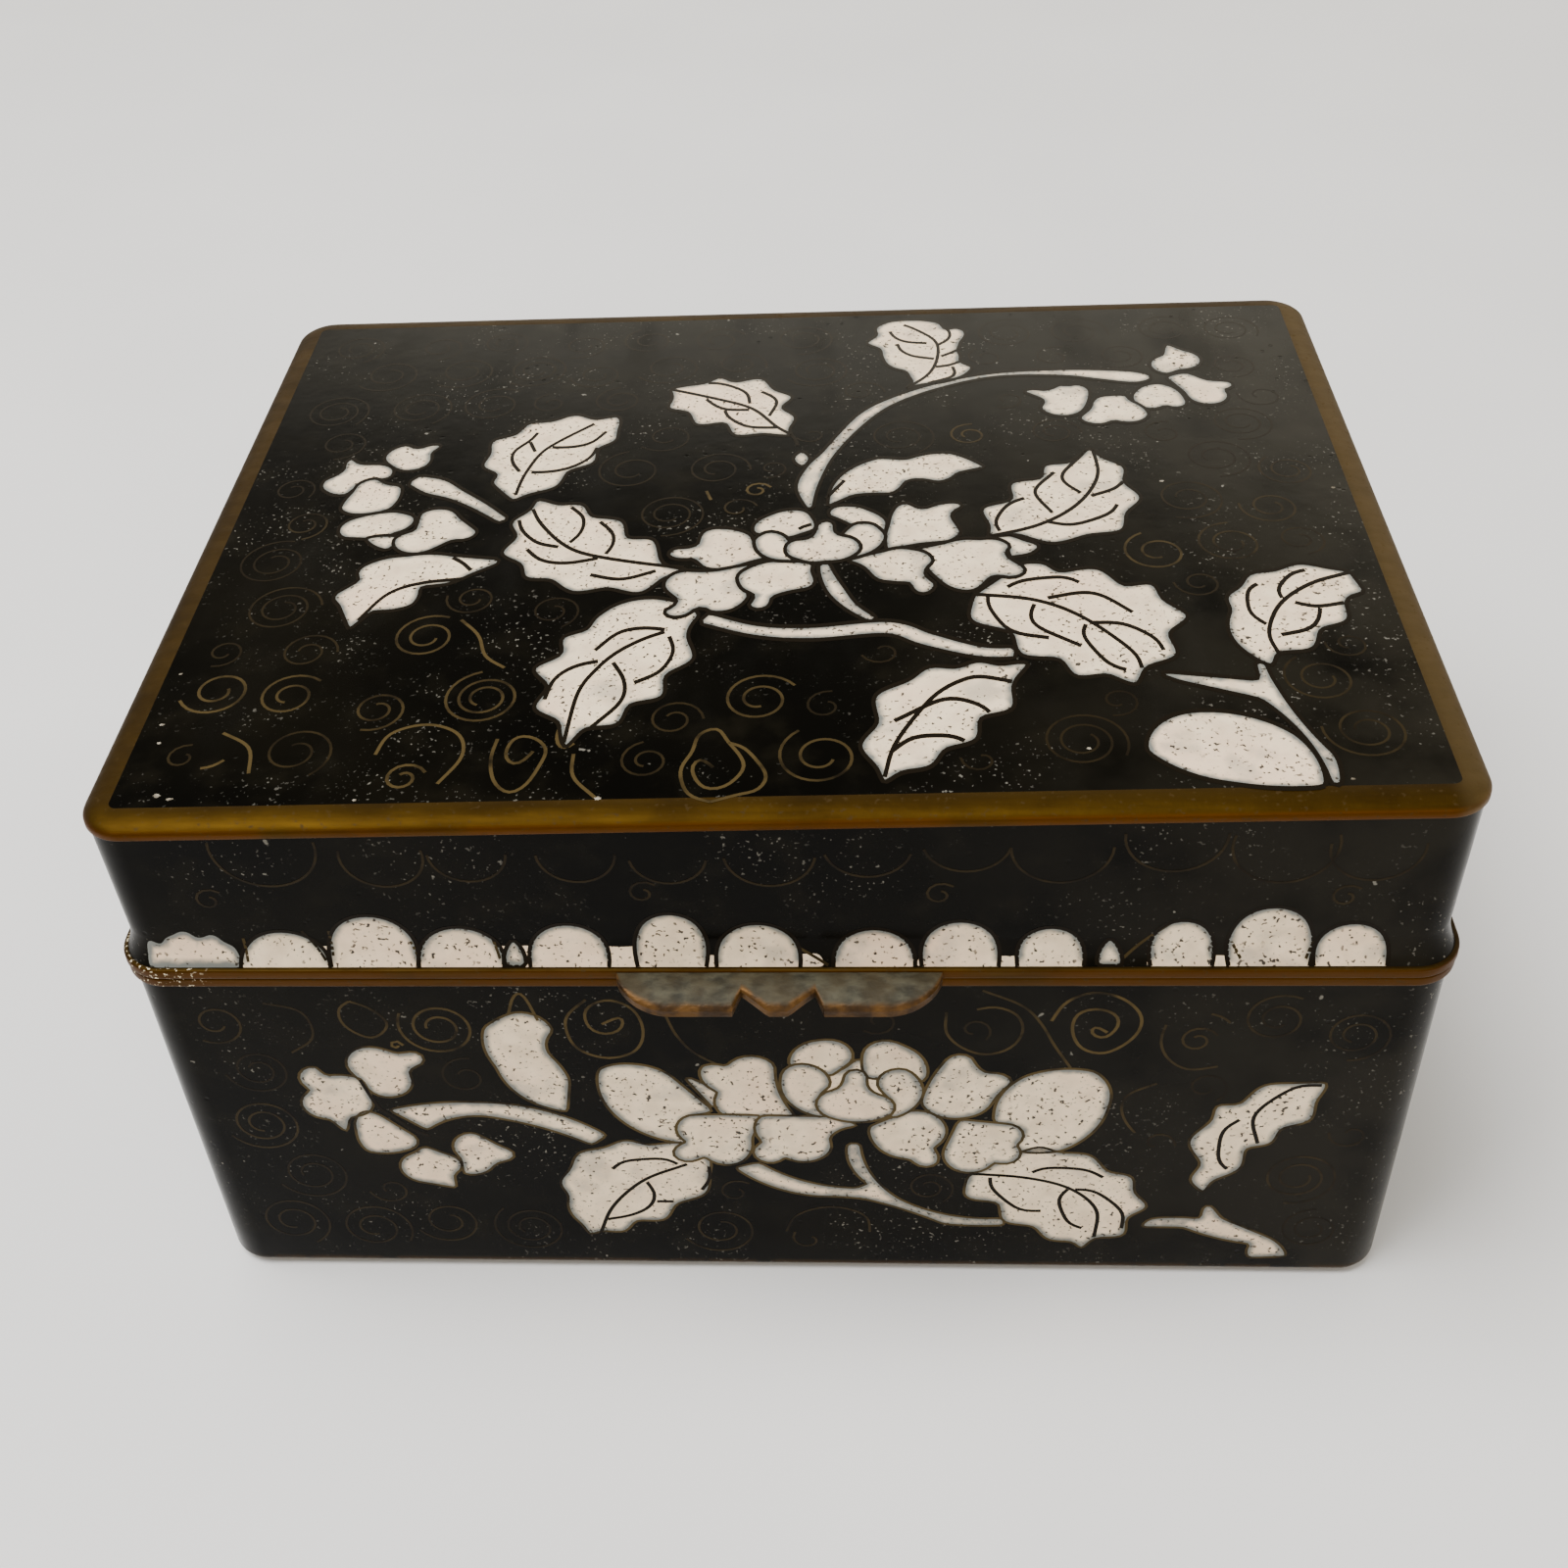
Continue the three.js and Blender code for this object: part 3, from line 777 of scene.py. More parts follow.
class Drawing:
    """White cells and wires on one face of the box. A later cell lies over the ones before it."""

    def __init__(self, name, place, lift=0.0, clear=0.0, grow=0.0):
        self.name = name
        self.place = place
        self.base = DRAWING_LIFT
        self.layer = self.base
        self.lift = lift
        self.clear = clear
        self.grow = grow
        self.cells = []
        self.enamel = ([], [], [])
        self.metal = ([], [], [])

    def add(self, pile, flat, lift, faces, shares):
        """Lay flat points on the face at a lift, or a lift for each, with their faces and attribute."""
        points, known, values = pile
        base = len(points)
        lifts = numpy.broadcast_to(lift, len(flat))
        points += [self.place(float(x), float(y), float(up)) for (x, y), up in zip(flat, lifts)]
        known += [tuple(base + index for index in face) for face in faces]
        values += [float(share) for share in shares]

    def fill(self, edge, rim=None):
        """Enamel inside a closed outline, greyer along its rim, which is the whole of it if not given."""
        rim = edge if rim is None else rim
        inner = []
        for inward in (EDGE_BAND, EDGE_BAND / 2, EDGE_BAND / 4):
            ring = edge + sideways(edge) * inward
            gap = numpy.linalg.norm(ring[:, None] - edge[None], axis=2).min(axis=1)
            inner.append(ring[gap > inward * 0.85][::2])
        low, high = edge.min(axis=0), edge.max(axis=0)
        columns = numpy.arange(low[0], high[0], GRID)
        rows = numpy.arange(low[1], high[1], GRID)
        grid = [(x, y) for x in columns for y in rows if encloses(edge, x, y)]
        grid = numpy.array(grid or [edge.mean(axis=0)])
        gap = numpy.linalg.norm(grid[:, None] - edge[None], axis=2).min(axis=1)
        grid = grid[gap > EDGE_BAND * 1.6]
        flat = numpy.vstack([edge, *inner, grid])
        spots = [Vector((float(x), float(y))) for x, y in flat]
        found, _, faces, *_ = delaunay_2d_cdt(spots, [], [list(range(len(edge)))], 1, 1e-5)
        found = numpy.array([(spot.x, spot.y) for spot in found])
        gap = numpy.linalg.norm(found[:, None] - rim[None], axis=2).min(axis=1)
        self.add(self.enamel, found, self.layer, faces, numpy.minimum(gap / min(EDGE_BAND, gap.max()), 1))

    def line(self, points, clear=0.0):
        """A wire along points, as clear as given against the black."""
        points = numpy.array(points, float)
        points = numpy.vstack([points[:-1:WIRE_STEP], points[-1:]])
        bare = clear >= BARE_FROM
        across = sideways(points) * (BARE_HALF_WIDTH + clear * 0.05 if bare else WIRE_HALF_WIDTH)
        across = across * (LID_SPREAD if self.place is on_lid and not bare else (1, 1))
        flat = numpy.vstack([points + across * share for share in (-1, -WIRE_SHOULDER, WIRE_SHOULDER, 1)])
        count = len(points)
        side = self.layer + WIRE_EDGE_LIFT
        top = self.layer + (BARE_TOP_LIFT if bare else WIRE_TOP_LIFT)
        lifts = numpy.repeat([side, top, top, side], count)
        faces = []
        for row in range(3):
            for here in range(row * count, row * count + count - 1):
                faces.append((here, here + 1, here + count + 1, here + count))
        self.add(self.metal, flat, lifts, faces, [clear] * len(flat))

    def wire(self, controls, clear=0.0):
        """A wire bent smoothly through a few points."""
        self.line(soften(curve(controls), WIRE_SOFTNESS, closed=False), clear)

    def closed(self, edge):
        """A white cell with its wire round it, laid over the cells that it overlaps."""
        edge = edge - sideways(edge) * self.grow
        under = [height for other, height in self.cells if overlap(edge, other)]
        self.layer = max(under, default=self.base - self.lift) + self.lift
        self.cells.append((edge, self.layer))
        self.fill(edge)
        self.line(numpy.vstack([edge, edge[:1]]), self.clear)

    def cell(self, corners, lobed=False):
        self.closed(outline(corners, lobed))

    def stem(self, controls):
        self.closed(band(controls))

    def leaf(self, corners, *veins):
        """A lobed cell with the wires of its midrib and veins."""
        self.cell(corners, lobed=True)
        for vein in veins:
            self.wire(vein)

    def build(self, filling=None, filling_slot="white_enamel"):
        """The enamel and the wires as two pieces."""
        for kind, pile, attribute, material, slot in (
            ("enamel", self.enamel, "edge", filling or WHITE_ENAMEL, filling_slot),
            ("wires", self.metal, "tone", WIRE, "wire"),
        ):
            points, faces, shares = pile
            if points:
                piece = add_piece(self.name + "_" + kind, points, faces, material)
                values = piece.data.attributes.new(attribute, "FLOAT", "POINT").data
                values.foreach_set("value", shares)


ROUND_THE_CORNER = 0.95  # how much of the rounded corner a drawing may cover, as a share of its radius


def on_wall(side):
    """Where a point of the drawing lies on a wall: along it, seen from outside, and its height."""
    ahead, half, half_along = {
        "front": ((0, -1), HALF_DEPTH, HALF_WIDTH),
        "right": ((1, 0), HALF_WIDTH, HALF_DEPTH),
        "back": ((0, 1), HALF_DEPTH, HALF_WIDTH),
        "left": ((-1, 0), HALF_WIDTH, HALF_DEPTH),
    }[side]

    def place(along, z, lift):
        inset = tray_inset(z)
        if z > SEAM_Z:
            out_x = ahead[0] * half - ahead[1] * along
            out_y = ahead[1] * half + ahead[0] * along
            inset = skirt_inset(z, BORDER_FOOT_Z + out_of_true(out_x, out_y))
        corner = TOP_CORNER - inset
        past = min(max(abs(along) - (half_along - TOP_CORNER), 0), corner * ROUND_THE_CORNER)
        out = half - inset + lift - (corner - math.sqrt(corner**2 - past**2))
        return (ahead[0] * out - ahead[1] * along, ahead[1] * out + ahead[0] * along, z)

    return place


# Leaves on the lid. Each is one white cell with a lobed edge, cut up by a midrib and veins of wire.

leaves = Drawing("lid_leaves", on_lid)
leaves.leaf([(-23.9, 2.5, 0), (-22.8, 3.5, .2), (-19.5, 7.4, .25), (-17.2, 11.2, .2), (-15.6, 14.6, .1),
             (-15.9, 17.3, 0), (-18, 16.6, .25), (-22, 16.6, .25), (-25.2, 14.3, .3), (-27.2, 10.9, .25),
             (-25.9, 7.2, .2), (-25.6, 4.7, 0)],
            [(-23.8, 3.6), (-23.5, 6.7), (-22.5, 10.5), (-21.1, 12.6), (-18, 15.8)],
            [(-24, 7.6), (-24.9, 9.3), (-25, 11.2), (-23.7, 13.1), (-23.2, 14.5)],
            [(-22.9, 7.4), (-21, 7.4), (-19.2, 8.1), (-17.7, 9.7), (-17.3, 11.4)],
            [(-21.5, 11.7), (-19.9, 11.6), (-18, 12.2), (-16.7, 14.3)],
            [(-23.7, 12.8), (-23, 11)])
leaves.leaf([(-7.5, -8.8, 0), (-9.3, -8.3, -.1), (-10.1, -6.2, .29), (-13.1, -3.9, .26), (-16.6, -.3, .28),
             (-19.8, 1.8, .05), (-21.8, 2.9, 0), (-22.1, 1.1, .25), (-22.7, -3.1, .32), (-21.7, -7.4, .3),
             (-19, -9.7, .22), (-14, -11.2, .3), (-9.4, -9.9, 0), (-7.5, -9.1, 0)],
            [(-7.9, -8.5), (-10, -8.1), (-14, -7), (-17, -5.8), (-19, -4), (-21, -1), (-21.9, 1.2)],
            [(-18.5, 1.3), (-17.2, -.5), (-17.2, -2.8), (-18, -4.3)],
            [(-15.7, -1.2), (-14.4, -3), (-14.2, -4.8), (-14.7, -6.2)],
            [(-22.9, -.5), (-22.4, -2.2), (-20.8, -4.2), (-18.9, -4.9)],
            [(-21.6, -5.1), (-20.2, -6.8), (-18, -7.4), (-15.3, -6.8)],
            [(-15.7, -9.2), (-13, -10), (-10.2, -8.9)])
leaves.leaf([(-6, -15.3, .1), (-9.5, -12.8, .15), (-14, -14.4, .1), (-15, -16.8, .33), (-16.7, -20, .42),
             (-17.3, -24, .32), (-16, -28.3, .05), (-15.2, -31.5, 0), (-14, -29.1, .3), (-10.9, -26.4, .34),
             (-8.4, -23, .26), (-6.9, -18.2, -.1)],
            [(-8.8, -17.4), (-10.5, -18.3), (-12.5, -20), (-14, -22.3), (-15, -25), (-15.4, -30.7)],
            [(-8.8, -17.1), (-10.5, -16.8), (-12.5, -17.3), (-14.2, -19.6)],
            [(-13.8, -21), (-15.5, -21.5), (-17, -23), (-17.5, -25.6)],
            [(-12.6, -21.2), (-11.5, -23.5), (-11.5, -26), (-13.5, -29)],
            [(-8.4, -18), (-7.9, -20), (-8.8, -22.5), (-10.7, -23.8)])
leaves.leaf([(-11.4, 22.2, 0), (-10.9, 20.4, .36), (-9.2, 17.5, .36), (-5.6, 15.3, .33), (-1.9, 13, .05),
             (.75, 12.5, 0), (.3, 13.6, .22), (-.6, 17.9, .39), (-1.3, 21.4, .36), (-5.3, 23.1, .45),
             (-7.9, 23.1, .05)],
            [(-11.1, 22), (-7.3, 20.2), (-3.3, 17.9), (-.8, 14.2), (.75, 12.5), (1.2, 10.7)],
            [(-7.7, 23.1), (-6.3, 22.9), (-4, 21.1), (-3.5, 18.8)],
            [(-2.5, 21.1), (-1.6, 20.3), (-.9, 19), (-1.6, 16.3)],
            [(-7.7, 19.9), (-7.1, 19), (-5.8, 17.8), (-3.5, 17.6)],
            [(-5.8, 17.6), (-5.4, 16.3), (-3.5, 14.4), (-.8, 14.1)])
leaves.leaf([(11.1, 20.9, 0), (12.8, 21.8, .1), (17, 23.5, .33), (16.4, 26.3, .15), (16.3, 28.7, .1),
             (16.7, 30.4, .1), (17.4, 33, .3), (15.4, 33.2, .2), (13.1, 35.7, .05), (9.7, 35.5, .2),
             (8.7, 32.3, .42), (9, 29.4, .05), (9.4, 26.2, .15), (11.4, 24.6, .05), (12, 22.3, 0)],
            [(11.3, 21.1), (13.4, 23.7), (14.4, 27), (14.4, 30.7), (12.5, 33.5), (11.3, 34.6)],
            [(9.9, 33.2), (10.3, 31.9), (11.4, 30.8), (13.5, 30.4)],
            [(10.6, 30.4), (10.9, 29), (12, 27.7), (14.1, 27)],
            [(15.5, 33.8), (15.9, 32.2), (15.5, 30.9), (14.6, 30)],
            [(16.8, 29.1), (15.9, 28.3), (14.8, 27.5)],
            [(16.5, 26.3), (15.6, 25.6), (14.2, 25.3)],
            [(15.8, 25.3), (15.9, 23.4), (13.4, 22)])
leaves.leaf([(17.5, -4.8, .05), (19.9, -4.6, .2), (26, -4.9, .28), (29.4, -1.6, .25), (29.7, 3.4, .23),
             (28.2, 7.7, 0), (27.4, 9.4, 0), (25.4, 6.8, .33), (22.8, 4.2, .35), (20, .7, .35),
             (17.8, -3.4, 0)],
            [(17.4, -5), (22, -3.2), (25.5, 0), (27.6, 4.5), (27.6, 9.3)],
            [(27, 8.9), (26, 7.2), (24.6, 5), (24.6, 3.5), (25.9, 1.7)],
            [(23.9, 5.2), (22.2, 2.8), (22, 1.4), (23.2, -1.4)],
            [(21, 1), (19.5, 0), (18.3, -2.6), (18.6, -4.1)],
            [(29.7, 3.5), (28.8, 2.3), (26.7, 1.2)],
            [(28.8, -.2), (27.9, -1.7), (24.8, -3.3), (22.7, -2.8)])
leaves.leaf([(15.9, -13.3, .3), (18.7, -18.4, .31), (22.2, -21.9, .33), (25.6, -23.9, .05), (27.6, -25.4, 0),
             (28.5, -23.1, .3), (30.7, -18.8, .36), (30.8, -14.3, .42), (28, -12.4, .27), (22.9, -10.3, .2),
             (20.2, -8.8, 0)],
            [(15.9, -13.2), (20.7, -14.1), (24.3, -16.5), (27.7, -21), (28.2, -23.2)],
            [(17.1, -13.3), (17.1, -15), (18.6, -18.2), (21.5, -19.2)],
            [(20.7, -14.7), (20.3, -16), (20.7, -17.7), (23.9, -20.3)],
            [(24.5, -17.5), (24.2, -19.1), (25.7, -22.5), (27, -23.4)],
            [(18.7, -12.3), (20, -11.4), (23.3, -11), (24.5, -11.8)],
            [(21.8, -13.9), (24.6, -13.2), (26.2, -13.7), (28.3, -16)],
            [(24.8, -17.3), (27.4, -17.5), (29.6, -19.4), (30.1, -21)])
leaves.leaf([(19.9, -22.3, .1), (17.6, -22.6, .2), (14.2, -22.8, .22), (10.6, -24.1, .25), (8.1, -29.2, .23),
             (8, -34.3, 0), (8.4, -36, 0), (9.7, -34.7, .2), (12.9, -32.3, .26), (15.6, -28.8, .29),
             (18.3, -25.2, -.05), (19.2, -23.4, 0)],
            [(18.3, -24.6), (16, -23.9), (14.7, -24.2), (12.3, -26.2), (9.4, -31.4), (8.5, -35.2)],
            [(16.4, -28.2), (15.7, -27.3), (13.2, -26.5), (9.3, -29)],
            [(14.4, -31.4), (13.4, -30.8), (10.7, -30.9), (9, -32.5)])
leaves.leaf([(46.2, -10.5, 0), (44.6, -10.1, .18), (40.3, -10.4, .2), (37.2, -12.6, .19), (36, -15.9, .15),
             (36.5, -21.8, .05), (38, -23.3, 0), (38.6, -21.5, .25), (42.4, -18.5, .25), (45, -14.9, 0),
             (45.6, -14, .4), (46.6, -12.4, 0)],
            [(46.1, -10.8), (42.8, -12.3), (39.9, -15.1), (38.4, -18.9), (38.7, -21.6)],
            [(42.7, -10.4), (41.5, -10.9), (40.1, -13), (40.2, -14.3)],
            [(38.6, -12.3), (37.7, -13.2), (37.4, -16.2), (38.4, -17.8)],
            [(41.1, -14.9), (42.6, -15.5), (44.9, -15)],
            [(42.9, -15.7), (42.5, -17.2), (41.5, -18.5), (39.3, -19.2)])
leaves.wire([(-15.9, -28.7), (-16, -30.5), (-15.3, -31.5), (-14.6, -30.8)], 1)
leaves.cell([(-34.9, -15.9, 0), (-33.4, -13.4, .1), (-30.2, -12.8, .1), (-30, -10.2, 0), (-27.9, -10, .05),
             (-26, -8.7, 0), (-23.8, -7.2, .4), (-24.4, -6.3, 0), (-28, -5.6, .08), (-32, -5.4, .1),
             (-35.2, -6.4, .25), (-35.4, -8.8, 0), (-37.1, -10.6, .2), (-36.6, -12.2, 0)])
leaves.wire([(-27.9, -6), (-26.9, -6.8), (-26, -8)])
leaves.wire([(-26.6, -9.2), (-30, -9.6), (-32.6, -11), (-34.4, -14.6)])
leaves.cell([(4, .2, 0), (6.2, 1.9, -.05), (9.5, 2, .1), (10.8, 4.1, -.15), (13.5, 3.8, .15), (15.4, 5.3, 0),
             (18, 6.2, .05), (15, 8.9, .1), (11, 7.9, 0), (8.6, 8.3, .15), (4.1, 1.8, 0)])
leaves.wire([(3.9, 1.6), (5.5, 4.5)])
leaves.build()


# Stems, buds and fruit on the lid, each a white cell. The long stem curls over the flower.

OVERLAP_LIFT = 0.004

stems = Drawing("lid_stems_and_buds", on_lid, lift=OVERLAP_LIFT)
for controls in (
    [(-33.9, 7, 1.6), (-31.5, 5.6, 2.8), (-29.2, 4, 1.9), (-26.8, 2, 1.5), (-24.1, -.7, 1.1)],
    [(2.5, -.2, .5), (2.2, 3.5, 2), (3, 6.8, 1.9), (4, 9.1, 1.4), (5.5, 12.4, 1.4), (7.5, 16, 1.6),
     (10, 18.7, 1.3), (14.4, 21.5, 1.1), (19.8, 23.4, .9), (26, 23.6, 1.4), (30, 23, 2.2),
     (33, 22.4, 2.4), (34.5, 22.6, .8)],
    [(1.6, 9.8, .3), (1.6, 8.4, 1.6), (1.7, 6.9, .4)],
    [(-6, -15.6, 1.6), (-1.5, -17.5, 1.6), (3, -18, 1.8), (9, -17.5, 1.9), (12, -19.1, 1.9),
     (16, -20.8, 1.6), (19, -21, 1.5)],
    [(3.8, -8.2, .9), (4.1, -10, 1.3), (4.9, -12.4, 1.6), (6.1, -14.6, 1.2), (8, -16.6, .9)],
):
    stems.stem(controls)
for corners in (
    # The fruit at the right front corner, and the forked stem beside it.
    [(39.3, -37.1, .1), (38.2, -31.2, .12), (31.5, -28.4, .2), (27.4, -32.9, .1), (33, -36.6, .05)],
    [(29.4, -24, 0), (30.7, -24.9, 0), (36.4, -27.2, -.08), (39.7, -36.9, 0), (40.4, -37, .05),
     (40.6, -33.6, -.03), (38.1, -26.4, 0), (37.7, -24.5, 0), (37.5, -22.6, 0), (36.7, -22.6, 0),
     (36.7, -24.8, 0), (30, -23.7, .2)],
    # The buds on the left, from the back.
    [(-33, 8.9, .15), (-32.8, 11.3, -.1), (-32, 12.4, .35), (-32.9, 13, .1), (-34, 12.4, -.1),
     (-35.3, 13.2, .15), (-37.1, 11.6, .15), (-36.6, 9.8, .05), (-35.2, 8.5, .15)],
    [(-36, 7.2, .1), (-35.8, 8.8, .1), (-37.2, 9.9, 0), (-39, 10, -.1), (-40.2, 11.2, .2),
     (-40.5, 9.3, -.1), (-42, 7.6, .2), (-41.3, 5.2, .15), (-39.4, 4.7, 0), (-38.4, 6.8, 0)],
    [(-34.9, 2, .1), (-34.5, 5.8, .1), (-35.6, 6.2, -.1), (-37, 7.4, .25), (-38.9, 5.4, .05),
     (-39.6, 2.4, .15), (-37.3, 1.3, .08)],
    [(-37.8, .9, .3), (-38.2, -2.4, 0), (-36.3, -2.6, .1), (-34, -2.7, 0), (-34.1, -2, .15),
     (-32.3, -.5, .25), (-33.4, 1.3, .1), (-34.7, 1.7, .05)],
    [(-36.3, -2.5, .1), (-33.9, -4.6, .1), (-33.2, -2.4, .1)],
    [(-28.4, .4, .3), (-32, 1.2, 0), (-32, -1.6, .1), (-33.6, -2.6, .35), (-30, -4.8, 0),
     (-28.3, -3.3, .3), (-26.3, -2, 0)],
    # The buds at the end of the long stem.
    [(36.7, 29.2, .05), (36.1, 26.8, .38), (36, 22.8, 0), (37.3, 23.7, .45), (38.2, 27.7, 0)],
    [(37.9, 23.2, .1), (35.7, 22.3, 0), (37, 19.5, 0), (37.3, 18.2, .25), (40.2, 17.1, .2),
     (40.8, 19.8, .4), (41.5, 21.4, 0), (39.5, 21.7, 0)],
    [(35, 21.2, .15), (32.6, 19.7, .2), (33, 16.4, .25), (35, 16.9, .35), (37.1, 17.2, .05),
     (36.6, 19.7, .1)],
    [(31.7, 19, .05), (29.1, 18.8, .1), (28.2, 16.6, 0), (26.9, 14.8, .35), (30, 14.2, .3),
     (33.4, 15.3, .1), (31.9, 17.9, 0)],
    [(22.1, 20, 0), (24, 18.3, -.1), (23.5, 16.9, .35), (27.4, 16, .05), (28.4, 19.6, .2),
     (27.2, 21.3, -.2), (25.7, 21.3, -.1), (24.1, 20.1, .2)],
):
    stems.cell(corners)
stems.build()


# The open flower in the middle of the lid. Its petals overlap, so each later cell covers the ones
# before it, down to the bowl with its narrow neck in the middle.

flower = Drawing("lid_flower", on_lid, lift=OVERLAP_LIFT)
flower.cell([(3, -3.4, .1), (2.7, -1.3, .2), (1.2, 0, .1), (-1.2, -1, .2), (-2.2, -3.8, 0), (.8, -4.6, 0)])
flower.wire([(1.6, -3.2), (2.1, -2.6), (2.7, -2.5)])
for corners in (
    [(4.3, -1.4, -.05), (6, -2.8, 0), (8.9, -4.4, 0), (9.2, -2.4, .1), (7.6, -.4, .12), (5.6, .4, .2),
     (4.2, -.3, .15)],
    [(-1, -7.5, 0), (-2.1, -5.2, 0), (-2.4, -3.9, .1), (-5.2, -2.65, .25), (-6.8, -4, .1),
     (-6.8, -5, -.15), (-8.6, -5.5, .15), (-9.4, -6.4, .2), (-8.4, -7.3, .15), (-7.3, -7.2, -.05),
     (-6.4, -8.5, .1), (-5, -9, .1), (-2.8, -8.2, 0)],
    [(-1.2, -7.9, 0), (-5, -9, -.05), (-7.6, -8.9, .25), (-9.3, -11.5, .05), (-8.1, -13, -.2),
     (-9.1, -14.4, .3), (-7.7, -15.5, .15), (-6.7, -14.6, -.35), (-5.4, -14.9, .1), (-3.6, -14.8, .1),
     (-2.2, -12.7, 0), (-3.3, -10.4, -.1)],
    [(3.1, -8.5, .05), (0, -7.8, .1), (-2.6, -8.9, .2), (-3.2, -11, .15), (-1.8, -12.6, -.1),
     (-2.3, -14, .2), (-1.3, -14.8, .25), (-.5, -13.3, -.1), (.4, -12.7, -.05), (2.5, -12.1, .2),
     (3, -10.2, 0), (2.8, -9.3, -.1)],
    [(9, -6.7, 0), (11.8, -5.9, 0), (14.2, -5.6, .1), (15.4, -4.1, 0), (14.6, -1.7, -.15),
     (15.7, -.3, .3), (14.6, .55, .1), (12.6, -.3, -.2), (11.2, .5, .25), (9.9, 0, .05), (9.3, -2.4, 0),
     (8.9, -4.5, 0)],
    [(19.2, -8.2, -.05), (20.7, -7.8, .05), (21.8, -6.6, .15), (20.6, -5.6, .05), (19.4, -4.7, .1),
     (17.8, -5, 0), (19, -6.2, 0)],
    [(11.5, -6.5, 0), (12.5, -10, 0), (13.3, -11.3, .1), (15, -12.8, .2), (16.7, -12, .05),
     (17.3, -11, -.2), (18.9, -11.1, .05), (20.1, -10.6, .25), (19.9, -9.1, .05), (19.2, -8.3, -.25),
     (19.4, -6.6, .25), (16.9, -5.3, .12), (14, -5.7, 0)],
    [(5.6, -8.1, -.05), (7.2, -9.2, 0), (7.9, -10.6, .15), (9.3, -11.3, .1), (10.9, -11.4, .05),
     (11.2, -12.7, .35), (12.7, -12.5, .2), (12.8, -11.3, -.1), (12.1, -10.2, -.1), (12.9, -8.6, .2),
     (11.3, -6.6, .15), (9, -6.7, 0), (7.5, -7.2, 0)],
    [(.8, -4.8, .12), (-.2, -3.6, .25), (-1.6, -3.9, .2), (-2.1, -5.4, .1), (-1.3, -7.2, .12),
     (.6, -8, .05), (2, -8, 0)],
    [(4.8, -8.1, .05), (7.2, -7.4, .1), (8.9, -5.3, .15), (8.5, -3.4, .2), (7.1, -2.4, .2),
     (5.9, -3.1, .05), (5.2, -4.4, 0)],
    [(3.9, -1.9, .2), (3.1, -2.9, -.05), (2.9, -4, -.25), (1.6, -4.7, .2), (.5, -6.1, .2),
     (1.6, -7.8, .15), (4, -8.2, .15), (6.4, -7.3, .2), (6.7, -5.3, .15), (5.2, -4.3, -.2), (4.7, -3, 0),
     (4.6, -2.3, .15)],
):
    flower.cell(corners)
flower.wire([(3.1, -8.5), (2.8, -9.6), (3.3, -10.5)])
flower.build()


# Scrolls of bare wire on the lid. The ones that were ground clean are bright; over the others the
# black enamel ran, so that they show through it faintly.

SCROLL_PITCH = 7.4
SCROLL_RADIUS = 3.4
ROW_SPACING = 0.87
FADES_OVER = 60  # the scrolls on the lid grow fainter towards its back
SCROLL_LIFT = 0.005
SCROLL_TRIES = 7
SCROLL_GAP = 0.25
LEAST_RADIUS = 1.5
LINE_ROOM = 0.4
CELL_ROOM = 0.2


def fill_with_scrolls(drawing, half_width, low, high, wound, lines, around):
    """Wound scrolls in loose rows wherever nothing else is drawn, each as large as its place allows."""
    chance = random.Random(drawing.name)
    taken = [(x, y, radius) for x, y, radius, *_ in wound]
    for line in lines:
        taken += [(x, y, LINE_ROOM) for x, y in line]
    for other in around:
        taken += [(x, y, CELL_ROOM) for edge, _ in other.cells for x, y in edge[::3]]
    edges = [edge for other in around for edge, _ in other.cells]
    rows = round((high - low) / SCROLL_PITCH / ROW_SPACING)
    columns = round(half_width / SCROLL_PITCH) + 1
    for row in range(rows):
        for column in range(-columns, columns + 1):
            tries = []
            for _ in range(SCROLL_TRIES):
                x = (column + 0.5 * (row % 2)) * SCROLL_PITCH + chance.uniform(-1.6, 1.6)
                y = low + (row + 0.5) * (high - low) / rows + chance.uniform(-1.4, 1.4)
                room = [math.hypot(x - a, y - b) - size - SCROLL_GAP for a, b, size in taken]
                radius = min([SCROLL_RADIUS, *room])
                tries.append((min(radius, half_width - abs(x), y - low, high - y), x, y))
            radius, x, y = max(tries)
            if radius < LEAST_RADIUS or any(encloses(edge, x, y) for edge in edges):
                continue
            turns = radius / SCROLL_RADIUS * chance.uniform(1.6, 2.4)
            faint = max(0, y) / FADES_OVER if drawing.place is on_lid else 0
            clear = max(BARE_FROM, chance.uniform(0.14, 0.34) - faint)
            drawing.line(spiral(x, y, radius, turns, chance.uniform(0, 360)), clear)
            taken.append((x, y, radius))


